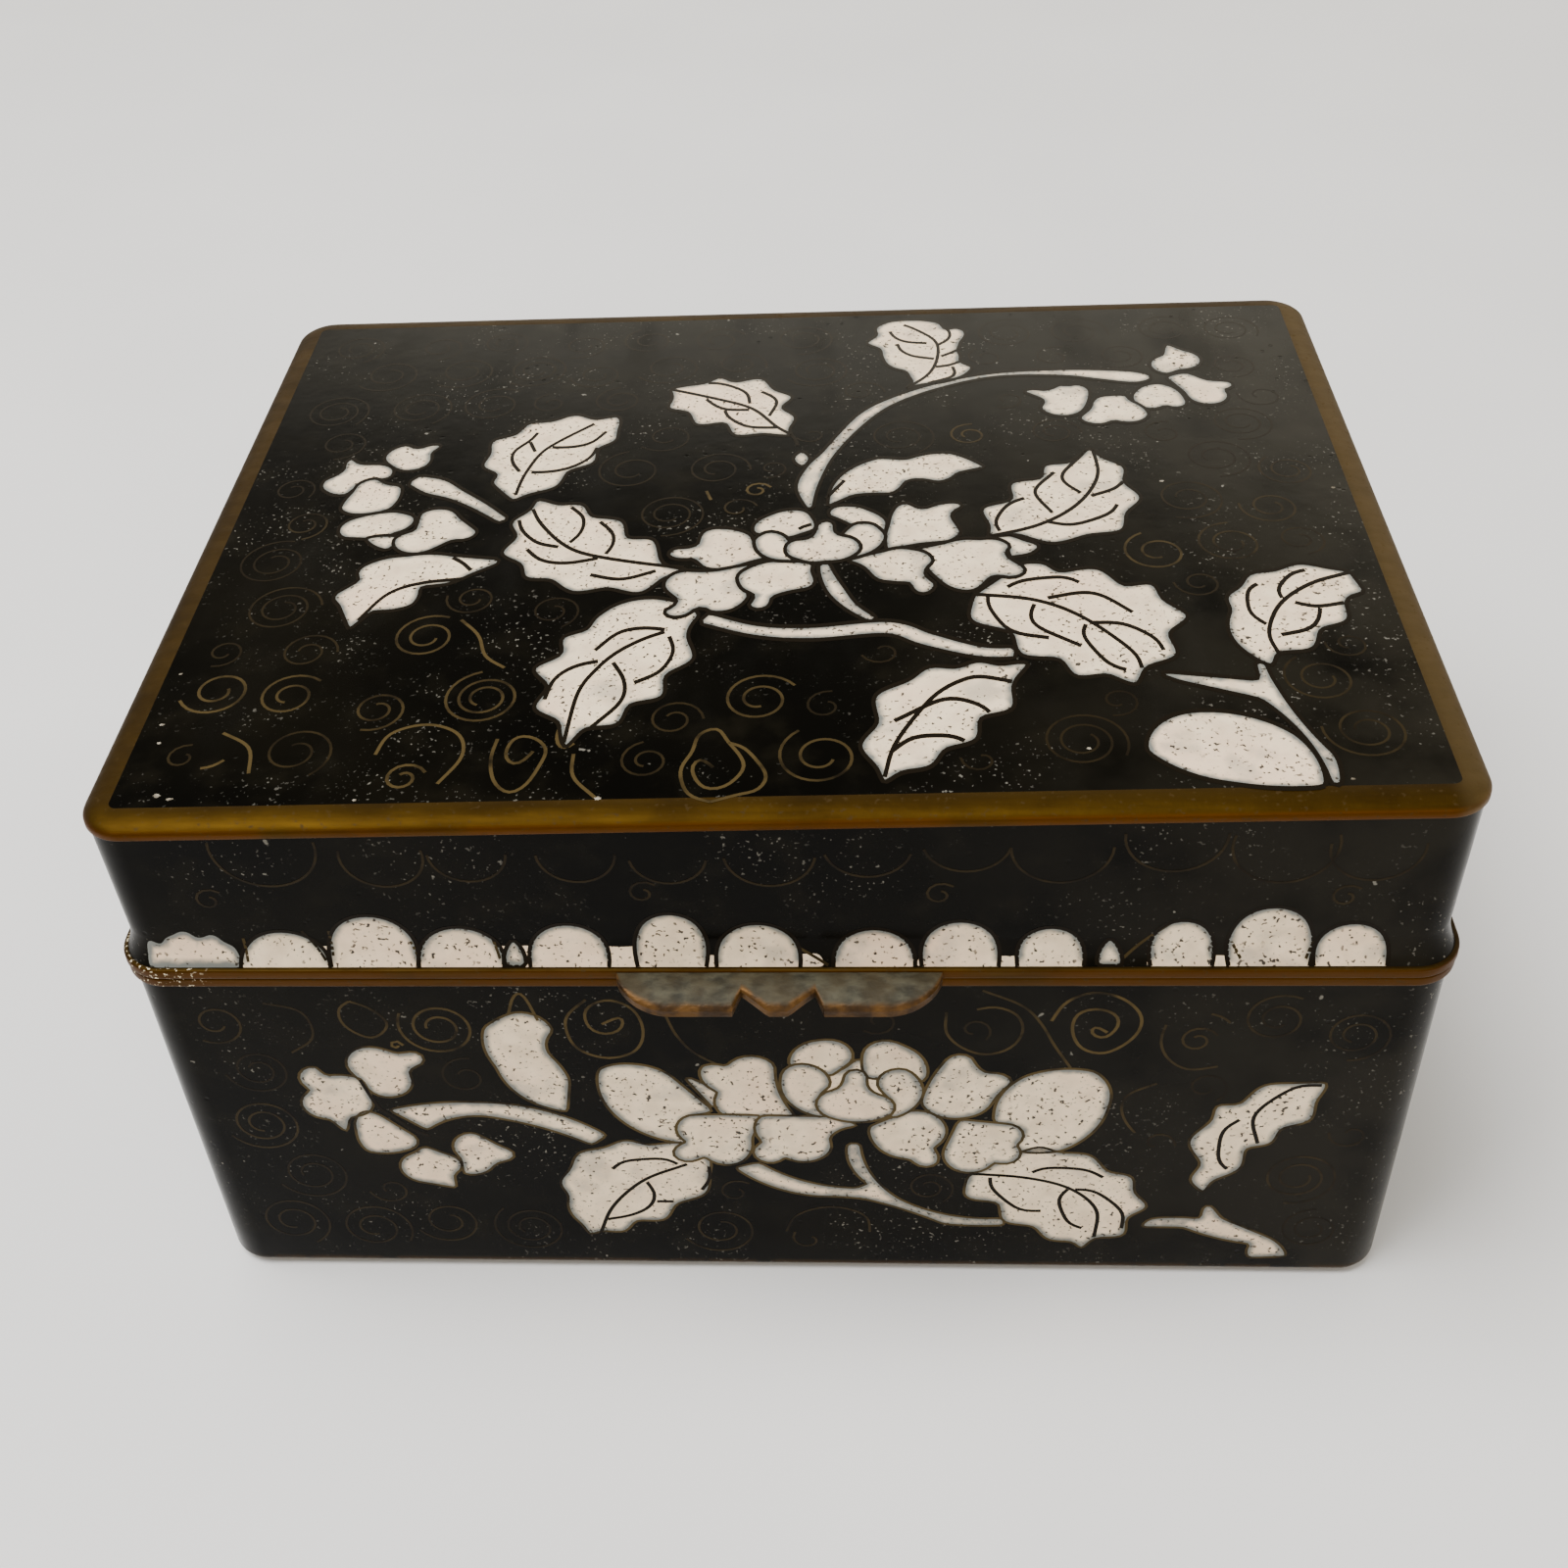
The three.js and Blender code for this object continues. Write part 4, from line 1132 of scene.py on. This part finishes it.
clear_scrolls = [
    [(-17.6, -31.6), (-18.1, -32.6), (-18.9, -33.1), (-19.7, -32), (-19.2, -30), (-17.8, -30),
     (-16.6, -31.4), (-17, -33.5), (-17.7, -35.4), (-18.8, -36.2), (-20.1, -34.9), (-20.7, -32.4),
     (-20.5, -30.1)],
    [(-4, -37.5), (-5.7, -36.6), (-6.4, -34), (-5.6, -32), (-5.3, -30.1), (-3.9, -29.4), (-3.1, -30.9),
     (-2.1, -32.5), (-1.7, -34), (-3, -35.9), (-4.6, -36), (-5.6, -33.9), (-5, -32.8), (-4, -33.8)],
    [(-3, -31.1), (-1.9, -31.6), (-.9, -33), (0, -34.9), (-.7, -36.4), (-1.9, -36.7), (-4, -37.5)],
    [(-29.6, -31.6), (-28.9, -29.2), (-26.2, -28.2), (-23.6, -29.4), (-22.9, -32), (-24.3, -35)],
    [(-42.8, -32.7), (-42, -32.6), (-41.2, -31.8)], [(-42.1, -28.6), (-39.6, -30.4), (-38.9, -33.4)],
    [(-25.7, -15), (-23.9, -17.2), (-23, -19.9), (-21.2, -21.5)],
    [(-14.5, -32), (-14.3, -34.5), (-12.4, -36.8)], [(-6.7, 3.3), (-6.2, 1.8)],
]
wound_scrolls = [  # x, y, radius, turns, start, how clear
    (-27, -34.3, 1.7, 1.3, 20, .9), (-37.9, -24.3, 2.8, 1.6, 40, .6), (-43.9, -23.4, 3, 1.5, 200, .8),
    (-30.5, -26.3, 2.5, 1.6, 250, .5), (-28.2, -17.2, 3, 1.8, 60, .6), (-22.3, -25.2, 3.3, 2.4, 100, .6),
    (-.9, -26.1, 3.1, 1.7, 30, .6), (3.9, -32.8, 3.4, 1.6, 120, .6), (-7.3, -28.3, 2.3, 1.4, 0, .3),
    (31.3, -7.5, 3, 1.5, 110, .5), (-2.2, 3.2, 1.3, 1.2, 20, .7), (16.8, 12, 2, 1.4, 80, .4),
]
scrolls = Drawing("lid_scrolls", on_lid)
scrolls.layer = SCROLL_LIFT
for line in clear_scrolls:
    scrolls.wire(line, 1)
for x, y, radius, turns, start, clear in wound_scrolls:
    scrolls.line(spiral(x, y, radius, turns, start), clear)
fill_with_scrolls(
    scrolls, half_width=47, low=-35.5, high=35.5,
    wound=wound_scrolls, lines=clear_scrolls, around=[leaves, stems, flower],
)
scrolls.build()


# The front wall of the tray carries the same drawing, smaller: a flower, leaves, buds and stems.

front_leaves = Drawing("front_leaves", on_wall("front"), clear=0.7)
front_leaves.leaf([(-17.3, 4.6, 0), (-16.2, 5.3, .25), (-13.1, 6.8, .26), (-9.5, 9.1, .21), (-6.3, 13.5, 0),
                   (-6.1, 15, 0), (-8, 17.2, .05), (-11.2, 16.8, .2), (-14.9, 16.5, .2), (-18.1, 13.6, .2),
                   (-18.5, 10, .15), (-17.8, 6.2, 0)],
                  [(-8.2, 14.4), (-12, 12.25), (-14.9, 8.7), (-16.3, 5)],
                  [(-14.5, 13.7), (-13.4, 14.75), (-10.1, 15.1), (-9, 14.4)],
                  [(-11.75, 12), (-11.2, 10.4), (-11.75, 8.7), (-13.4, 7.5), (-15.5, 6.9)],
                  [(-6.4, 14.1), (-6.4, 12.5), (-7.2, 11)], [(-11.1, 9.4), (-9.7, 9.4)])
front_leaves.leaf([(14.9, 13.1, .36), (17.6, 9.6, .29), (20.6, 6.4, .2), (24, 4.3, 0), (24.7, 3.2, 0),
                   (25.7, 4.9, .38), (28.2, 7.7, .4), (28.6, 11, .3), (26.3, 13.7, .2), (22.2, 16.2, .2),
                   (19.25, 16.3, 0)],
                  [(14.9, 13.4), (19.7, 12.9), (23.4, 11.5), (25.7, 8.7), (25.7, 5)],
                  [(20.2, 13.6), (21.3, 14.2), (24.5, 14), (26, 13)],
                  [(16.8, 12.9), (17, 11.4), (19.25, 8.7), (21.1, 8.5)],
                  [(23.2, 11.4), (22.5, 10), (23.4, 7), (24.6, 6.2)],
                  [(23.8, 11.4), (25.5, 11.1), (27.8, 8.5), (27.9, 6.2)])
front_leaves.leaf([(34.3, 11, 0), (34.8, 12.6, .2), (37.1, 16.9, .25), (39.6, 19.4, .27), (42, 22.8, .05),
                   (42.7, 25, 0), (40.6, 24.9, .2), (36.1, 22.2, .4), (34.2, 20.4, .23), (33.8, 14.8, .24)],
                  [(42.2, 24.6), (40.1, 24.3), (37.4, 21), (38, 17.5)],
                  [(36.3, 20.4), (35.1, 18.9), (35.1, 15.4), (35.9, 14.2)])
front_leaves.cell([(-20.4, 33, .05), (-23.1, 31.2, .1), (-22.7, 26.5, .1), (-20.3, 22.2, .05),
                   (-17.5, 21, 0), (-16.9, 25, .05), (-18.2, 28, -.15), (-17.6, 30.8, .2)])
front_leaves.wire([(-20.9, 32.8), (-20.4, 34.6), (-19.8, 35.3), (-19.3, 34.4), (-18.7, 32)], .7)
front_leaves.build()

front_stems = Drawing("front_stems_and_buds", on_wall("front"), clear=0.7)
for corners in (
    [(-32.3, 21.2, 0), (-29.4, 18.6, -.12), (-24.2, 20.4, -.05), (-15.9, 16.8, 0), (-14.5, 18.1, .1),
     (-25, 22.2, .05)],
    [(-4.3, 14, .1), (2.8, 10.2, -.03), (6.5, 9.9, -.03), (13, 6.6, .03), (18.2, 6.5, 0), (18, 7.5, -.1),
     (9.3, 10, -.1), (6.2, 17.25, 0), (5.1, 17.25, .12), (6.8, 11.8, .3), (6, 11.4, -.1),
     (-2.2, 14.75, 0)],
    [(29.5, 6.4, 0), (33, 6.4, .05), (38.8, 4.2, .15), (38.8, 2.25, 0), (42, 2.5, .1), (40, 5.3, 0),
     (36.1, 7.7, 0), (35.1, 9.4, .3), (34.4, 9, 0), (34.3, 7.6, .05), (30.3, 7.6, .1)],
    [(-31.4, 28.6, .45), (-34.2, 25.2, 0), (-33.6, 23.9, .2), (-31.5, 22.8, .25), (-29.9, 25.9, 0),
     (-29.2, 26.6, .5), (-29.2, 28.4, 0), (-30.6, 28.1, .1)],
    [(-37.4, 26.6, .4), (-38.2, 23.6, .45), (-37.3, 20, .05), (-36.2, 18.3, 0), (-35.6, 20.3, .15),
     (-33.4, 21.6, .05), (-33.9, 25.1, .1), (-36.7, 25.4, 0)],
    [(-34.3, 21.1, .15), (-35.4, 18.5, .1), (-34.9, 15.8, .1), (-31.3, 16.1, .35), (-31, 18.3, 0),
     (-33.1, 20.6, .05)],
    [(-30, 16.6, .05), (-30.9, 15.7, .44), (-30.6, 11.7, 0), (-28, 11, 0), (-28, 12.9, .38),
     (-28.2, 15.5, 0)],
    [(-25.9, 18.4, .3), (-27.1, 15, 0), (-27.2, 12.9, .2), (-24.3, 14.3, 0), (-23.3, 14.7, .5),
     (-23.3, 16.4, 0), (-25, 17.9, .1)],
):
    front_stems.cell(corners)
front_stems.wire([(-34, 24.9), (-33, 21.3), (-32.3, 20.7), (-30.8, 18.8), (-29.4, 17.9)])
front_stems.build()

front_flower = Drawing("front_flower", on_wall("front"), lift=OVERLAP_LIFT, clear=0.8, grow=0.13)
for corners in (
    [(-14.4, 26.2, .23), (-8, 17.2, -.2), (-7.6, 20.7, 0), (-5.7, 21.2, 0), (-8.8, 25.4, .1),
     (-11.5, 26.8, .1)],
    [(-7.6, 25.4, 0), (-5.5, 21.6, 0), (-5.1, 23.7, 0)],
    [(-6.2, 26.6, .2), (-4.9, 23.6, .2), (-4.6, 20.6, 0), (.9, 20.6, -.08), (-.5, 26.8, .32),
     (-4.2, 26.5, .15)],
    [(-5.1, 20.7, 0), (-7.6, 20.6, .3), (-7.8, 17.25, .15), (-9.2, 15.8, .3), (-7.3, 15.1, 0),
     (-6.6, 15.6, .35), (-3.1, 15.7, .1), (-2.8, 17.7, 0), (-1.75, 20.6, 0)],
    [(-1.75, 20.6, .18), (-1.6, 17.25, .4), (-1.5, 14.75, .2), (-.1, 15.6, .2), (2.9, 15.4, .2),
     (3.5, 17.8, -.15), (6, 19.5, 0), (4, 20.5, 0)],
    [(2, 21, 0), (9.4, 21, 0), (9.6, 24.6, .1), (7, 26.8, 0), (6.2, 27.6, 0), (5, 26.2, 0),
     (2, 25.6, .1)],
    [(.8, 26.8, 0), (3.9, 25.6, 0), (5.6, 27.4, .3), (3.4, 29.7, .22)],
    [(6.8, 25.4, 0), (11.3, 25, .2), (9.6, 29.1, .35), (6.6, 27.9, .05)],
    [(17, 20.9, 0), (17, 20, 0), (18.5, 19.7, -.35), (18.5, 17.3, 0), (19.3, 16.3, .05),
     (22.4, 16.5, .12), (25.8, 22, .15), (24.5, 26.1, .1), (19.3, 25.5, .12)],
    [(14.2, 20.2, 0), (13.1, 16.6, .1), (13.3, 14.7, .35), (17, 15.1, .35), (19.1, 16.1, .1),
     (18.6, 17.1, .3), (18.4, 19.6, 0)],
    [(13, 27.2, .05), (11.2, 22.3, .2), (14.6, 20.6, .15), (16.7, 22.6, -.05), (18.2, 24.9, .2),
     (16.2, 25.8, -.1), (15, 27.7, .3)],
    [(7, 19.3, .1), (8, 16.3, .1), (10.4, 15.3, .3), (12.3, 14.6, .15), (11.9, 16.7, .3),
     (11.6, 21.1, .15), (9.1, 20.6, 0)],
    [(.1, 25.2, .22), (3.5, 20.6, -.25), (3.8, 24.3, .2), (2, 26.9, .25)],
    [(8.7, 20.5, .15), (11.2, 23.8, .1), (9.9, 26.3, .3), (7.8, 24.2, 0), (8.9, 22.5, .05)],
    [(5.1, 25.4, -.1), (4.4, 23.8, .42), (4, 20.5, .12), (8, 20.5, .4), (7.7, 23.2, -.2),
     (6.8, 25.5, .5)],
):
    front_flower.cell(corners)
front_flower.build()

front_lines = [  # controls, how clear
    ([(-40.2, 34), (-37.3, 33), (-36.9, 30), (-39, 28.2)], .3),
    ([(-33.3, 34.2), (-31.9, 33.5), (-30.6, 31.6), (-32.2, 29.9), (-34.2, 31.4), (-34.3, 33.4),
      (-33.3, 34.2)], .5),
    ([(-14.7, 34.4), (-16.3, 32.7), (-16.6, 31), (-15.9, 28.7), (-13.6, 27.6), (-11.3, 28.5),
      (-10.5, 30.8), (-11.1, 33.3), (-13, 34.4), (-14.7, 33.5), (-15, 32.2), (-14.5, 30.8),
      (-13.2, 30.4), (-12.1, 31.2), (-12.1, 32.5), (-13.7, 31.6)], .7),
    ([(-8.6, 32.5), (-8, 30.4), (-6.75, 28.3), (-5.1, 27)], .55),
    ([(13, 33), (13, 30.6), (14.25, 28.9), (16.1, 28.1), (18, 28.9), (18.9, 30.8), (18.4, 32.7),
      (16.75, 33.6), (15.3, 33.3)], .55),
    ([(15.7, 35.4), (18.8, 33.7), (20.3, 31.6), (21.3, 29.3), (22.7, 26.6)], .55),
    ([(21, 32), (22, 34.1), (24, 35.2), (26.3, 34.5), (27.8, 32.5), (27.4, 30.2), (25.3, 28.3),
      (23.4, 28.9), (22.6, 31), (23, 32.9), (24.5, 33.4), (25.9, 32.7), (26.1, 31.4), (25.1, 30),
      (24, 30.6), (24.3, 31.5), (25.3, 30.7)], .85),
    ([(34.5, 31.8), (33.8, 32.6), (33, 32.8)], .45),
    ([(29.7, 31.6), (29.4, 29.75), (30.1, 27.7), (31.75, 26.4), (34, 26.8)], .45),
    ([(29.5, 24.75), (27.4, 23.5), (26.9, 21.8), (27.4, 20), (28.2, 18.7)], .5),
    ([(-.3, 5.4), (.5, 7.5), (2.6, 8.7), (4.7, 8.7), (6.6, 7.5), (6.8, 5.4)], .35),
]
front_scrolls = Drawing("front_scrolls", on_wall("front"))
for line, clear in front_lines:
    front_scrolls.wire(line, clear)
front_scrolls.line(spiral(-26.7, 31.2, 3.3, 2.1, 150), .6)
front_scrolls.line(spiral(-30.4, 29.1, .6, 1, 0), .8)
front_scrolls.line(spiral(32.2, 29.8, 1.6, 1.3, 20), .4)
kept_clear = [(-26.7, 31.2, 3.4), (32.2, 29.8, 3), (0, 32.6, 6)]  # the two scrolls, and under the tab
fill_with_scrolls(
    front_scrolls, half_width=47, low=2, high=35, wound=kept_clear,
    lines=[line for line, clear in front_lines], around=[front_leaves, front_stems, front_flower],
)
front_scrolls.build()


# The skirt of the lid: a row of white petals, each an arch of wire, over the rim, and loops of wire
# hanging under the border. Wear has eaten into the petals at the left front corner.

PETAL_FOOT_Z = SKIRT_FOOT_Z + 0.05
PETAL_PITCH = 7.2
STRIP_SAG = 0.15
LOOP_RISE = 0.6
LOOP_SPREAD = 0.4
PETALS_OVER_STRIP = 0.018


def petal(drawing, left, right, top_z):
    """A white dome on the rim, open at its foot, where the wire stops."""
    width = right - left
    shoulder_z = top_z - width * 0.22
    arch = arc((right, PETAL_FOOT_Z), (right - width * .09, shoulder_z), .1)
    arch += arc((right - width * .09, shoulder_z), (left + width * .09, shoulder_z), .27)
    arch += arc((left + width * .09, shoulder_z), (left, PETAL_FOOT_Z), .1) + [(left, PETAL_FOOT_Z)]
    arch = soften(arch, CORNER_SOFTNESS, closed=False)
    foot = arc((left, PETAL_FOOT_Z), (right, PETAL_FOOT_Z), 0)
    drawing.fill(numpy.vstack([foot, arch[:-1]]), arch[3:-3])
    drawing.line(arch)


def white_foot(drawing, left, right, top_z):
    """The strip of white that joins the feet of the petals. It is white up to its edges."""
    sag = -STRIP_SAG / (right - left)
    foot = [(left, PETAL_FOOT_Z, 0), (right, PETAL_FOOT_Z, 0)]
    top = [(right - .4, top_z, sag), (left + .4, top_z, 0)]
    far_rim = numpy.array([(left - 9, top_z)])
    drawing.fill(outline(foot + top), far_rim)


def hanging_loop(drawing, left, right, low_z, high_z):
    """A faint loop of wire whose two ends run up under the border."""
    high_z += LOOP_RISE
    left -= LOOP_SPREAD
    right += LOOP_SPREAD
    loop = arc((left, high_z), (right, high_z), (high_z - low_z) / (right - left))
    drawing.line(loop + [(right, high_z)], .28)


skirt_front = Drawing("front_skirt", on_wall("front"))
for left, right, top_z in (
    (-41, -12, 40), (-13.4, -9.5, 39.9), (-10.5, 3.9, 39.2), (10.6, 23.4, 39.1), (27.6, 45.4, 39.1),
):
    white_foot(skirt_front, left, right, top_z)
    skirt_front.layer += 0.001
skirt_front.base = PETALS_OVER_STRIP
skirt_front.layer = PETALS_OVER_STRIP
for left, right, top_z in (
    (-41, -34, 41.5), (-33.9, -27.2, 43.2), (-27.1, -20.5, 41.9), (-18.5, -12.5, 42.2), (-10.3, -5.1, 43.3),
    (-4.3, 2, 42.2), (4.5, 10.6, 41.6), (11.1, 16.8, 42.4), (18.2, 23.1, 41.7), (28, 32.5, 42.4),
    (33.7, 39.6, 43.8), (39.9, 45.2, 42.1),
):
    petal(skirt_front, left, right, top_z)
worn_petal = [
    (-48.3, PETAL_FOOT_Z, 0), (-40.9, PETAL_FOOT_Z, .05), (-41.4, 40, -.1), (-42.3, 40.5, .2),
    (-43.1, 41.2, -.2), (-44.3, 40.8, .3), (-45.5, 41.4, -.1), (-46.4, 40.9, .1), (-46.9, 40.1, -.2),
    (-47.7, 40.6, .2), (-48.2, 40, 0),
]
skirt_front.fill(outline(worn_petal))
skirt_front.cell([(-20.6, PETAL_FOOT_Z, 0), (-18.8, PETAL_FOOT_Z, .1), (-19.7, 40.6, .1)])
skirt_front.cell([(24, PETAL_FOOT_Z, 0), (26, PETAL_FOOT_Z, .1), (25, 40.6, .1)])
for start, end in (
    ((-35.8, 41.5), (-34.3, 38.7)), ((-40.5, 40.7), (-40.4, 38.6)), ((-33.7, 41.5), (-33.7, 39)),
    ((-27.6, 40.4), (-27, 38.6)), ((-21.2, 40.4), (-20.8, 38.7)), ((26, 38.8), (29.6, 42.4)),
    ((34.6, 38.7), (33.8, 40.2)), ((39.3, 38.7), (39.8, 40.2)), ((1.4, 40), (4.1, 38.3)),
):
    skirt_front.wire([start, end], .5)
for left, right, low_z, high_z in (
    (-40.6, -33.5, 46.4, 50.4), (-31, -25.7, 46.3, 49.5), (-24.5, -19.5, 46.8, 49),
    (-16.5, -11.5, 46.7, 48.9), (-9.7, -4.9, 46.5, 48.3), (-2.8, 3, 46.2, 48.5), (4.5, 9.9, 47.1, 48.8),
    (11.6, 17, 47.6, 49.3), (17.8, 24.3, 46.4, 49.4), (25.8, 32.2, 47.5, 50.7), (33.5, 39.9, 46.3, 50.5),
    (40.2, 46, 46.5, 49.6),
):
    hanging_loop(skirt_front, left, right, low_z, high_z)
for x, z in ((-9.4, 45.5), (12.4, 45.2), (41.5, 44.8), (-42.2, 44.9)):
    skirt_front.line(spiral(x, z, 1.3, 1.1, 40), .3)
skirt_front.build()


# Chips at the edges of the black enamel, where the pale filler of an old repair shows.


def filler_finish():
    """Chalky grey-white filler, rough and dirty."""
    finish = Finish("filler")
    crumb = finish.noise(0.5, 5.0)
    colour = crumb.ramp(0.3, 0.7).blend((0.12, 0.1, 0.07), (0.38, 0.34, 0.27))
    finish.surface(colour, 0.85, Specular_IOR_Level=0.1)
    finish.relief(crumb, 0.08)
    return finish.material


def chip(drawing, x, y, size):
    """A ragged fleck of filler."""
    chance = random.Random(round(x * 10 + y))
    edge = []
    corners = 14
    for step in range(corners):
        turn = step / corners * 2 * math.pi
        reach = size * chance.uniform(0.5, 1)
        edge.append((x + reach * math.cos(turn), y + reach * 0.7 * math.sin(turn)))
    drawing.fill(numpy.array(edge))


chips = Drawing("lid_chips", on_lid)
for x, y, size in (
    (-45.3, -35.7, .35), (-44.2, -36.1, .3), (-47.3, -27.4, .25), (-46.9, -29.6, .22),
    (-12.2, -36.9, .35), (-47.6, -21, .2), (41.3, -36.3, .2), (23.3, -32.5, .25), (33, 3.5, .25),
    (47.4, 2.2, .22), (-30.2, -36.6, .2),
):
    chip(chips, x, y, size)
chips.build(filler_finish(), "filler")


# The right, back and left walls hide from the camera. They carry the same petals and loops, and
# plain scrolls of wire in the black.

WALL_MARGIN = 4

for side, half in (("right", HALF_DEPTH), ("back", HALF_WIDTH), ("left", HALF_DEPTH)):
    skirt = Drawing(side + "_skirt", on_wall(side))
    count = math.floor((half - WALL_MARGIN) * 2 / PETAL_PITCH)
    reach = count / 2 * PETAL_PITCH - 0.5
    white_foot(skirt, -reach, reach, 39.2)
    skirt.layer += 0.003
    chance = random.Random(side)
    for index in range(count):
        middle = (index - (count - 1) / 2) * PETAL_PITCH
        width = chance.uniform(5.8, 6.6)
        petal(skirt, middle - width / 2, middle + width / 2, chance.uniform(41.7, 43.3))
        hanging_loop(skirt, middle - width / 2, middle + width / 2, chance.uniform(46.3, 47.2), 49.3)
    skirt.build()
    scrolls = Drawing(side + "_scrolls", on_wall(side))
    fill_with_scrolls(scrolls, half - WALL_MARGIN, low=2.5, high=35.2, wound=[], lines=[], around=[])
    scrolls.build()


# The setting: a pale table under soft studio light, and the camera where the photograph was taken.

CAMERA_PLACE = (0.00786, -0.14346, 0.14621)
CAMERA_TURN = (54.112, 3.153, 2.948)
SENSOR = 36
FOCAL_LENGTH = 45.13
SHIFT = (0.0358, -0.1048)
TABLE_REACH = 3


def studio_floor():
    """A pale table that reaches out of sight."""
    mesh = bpy.data.meshes.new("table")
    corners = [(TABLE_REACH * x, TABLE_REACH * y, 0) for x, y in ((-1, -1), (1, -1), (1, 1), (-1, 1))]
    mesh.from_pydata(corners, [], [(0, 1, 2, 3)])
    finish = Finish("table top")
    finish.surface(finish.noise(60, 2.0).ramp(0.3, 0.7).blend((0.8, 0.79, 0.78), (0.83, 0.82, 0.81)), 0.7)
    mesh.materials.append(finish.material)
    table = bpy.data.objects.new("table", mesh)
    bpy.context.scene.collection.objects.link(table)
    return table


def soft_light(name, place, aim, size, watts, colour=(1, 1, 1)):
    """A broad panel of light at place, turned towards aim."""
    light = bpy.data.lights.new(name, "AREA")
    light.shape = "RECTANGLE"
    light.size = size[0]
    light.size_y = size[1]
    light.energy = watts
    light.color = colour
    lamp = bpy.data.objects.new(name, light)
    lamp.location = place
    lamp.rotation_euler = (Vector(aim) - Vector(place)).to_track_quat("-Z", "Y").to_euler()
    bpy.context.scene.collection.objects.link(lamp)
    return lamp


table = studio_floor()
key = soft_light("window light", (-0.25, -0.1, 0.75), (0, 0, 0.03), (0.5, 0.5), 11)
back = soft_light("back panel", (0.15, 0.7, 0.36), (0, 0, 0.05), (1.5, 0.2), 2.6, (1, 0.93, 0.76))
front = soft_light("front fill", (0.2, -0.7, 0.5), (0, 0, 0.02), (0.5, 0.35), 2.6, (1, 0.93, 0.8))
side = soft_light("side panel", (0.8, 0.1, 0.35), (0, 0, 0.05), (0.2, 0.8), 1.6, (1, 0.95, 0.85))

world = bpy.data.worlds.new("studio")
world.use_nodes = True
world.node_tree.nodes["Background"].inputs["Color"].default_value = (1, 0.98, 0.94, 1)
world.node_tree.nodes["Background"].inputs["Strength"].default_value = 0.3
bpy.context.scene.world = world

camera_data = bpy.data.cameras.new("camera")
camera_data.sensor_width = SENSOR
camera_data.lens = FOCAL_LENGTH
camera_data.shift_x, camera_data.shift_y = SHIFT
camera_data.clip_start = 0.005
camera = bpy.data.objects.new("camera", camera_data)
camera.location = CAMERA_PLACE
camera.rotation_euler = [math.radians(angle) for angle in CAMERA_TURN]
bpy.context.scene.collection.objects.link(camera)
bpy.context.scene.camera = camera
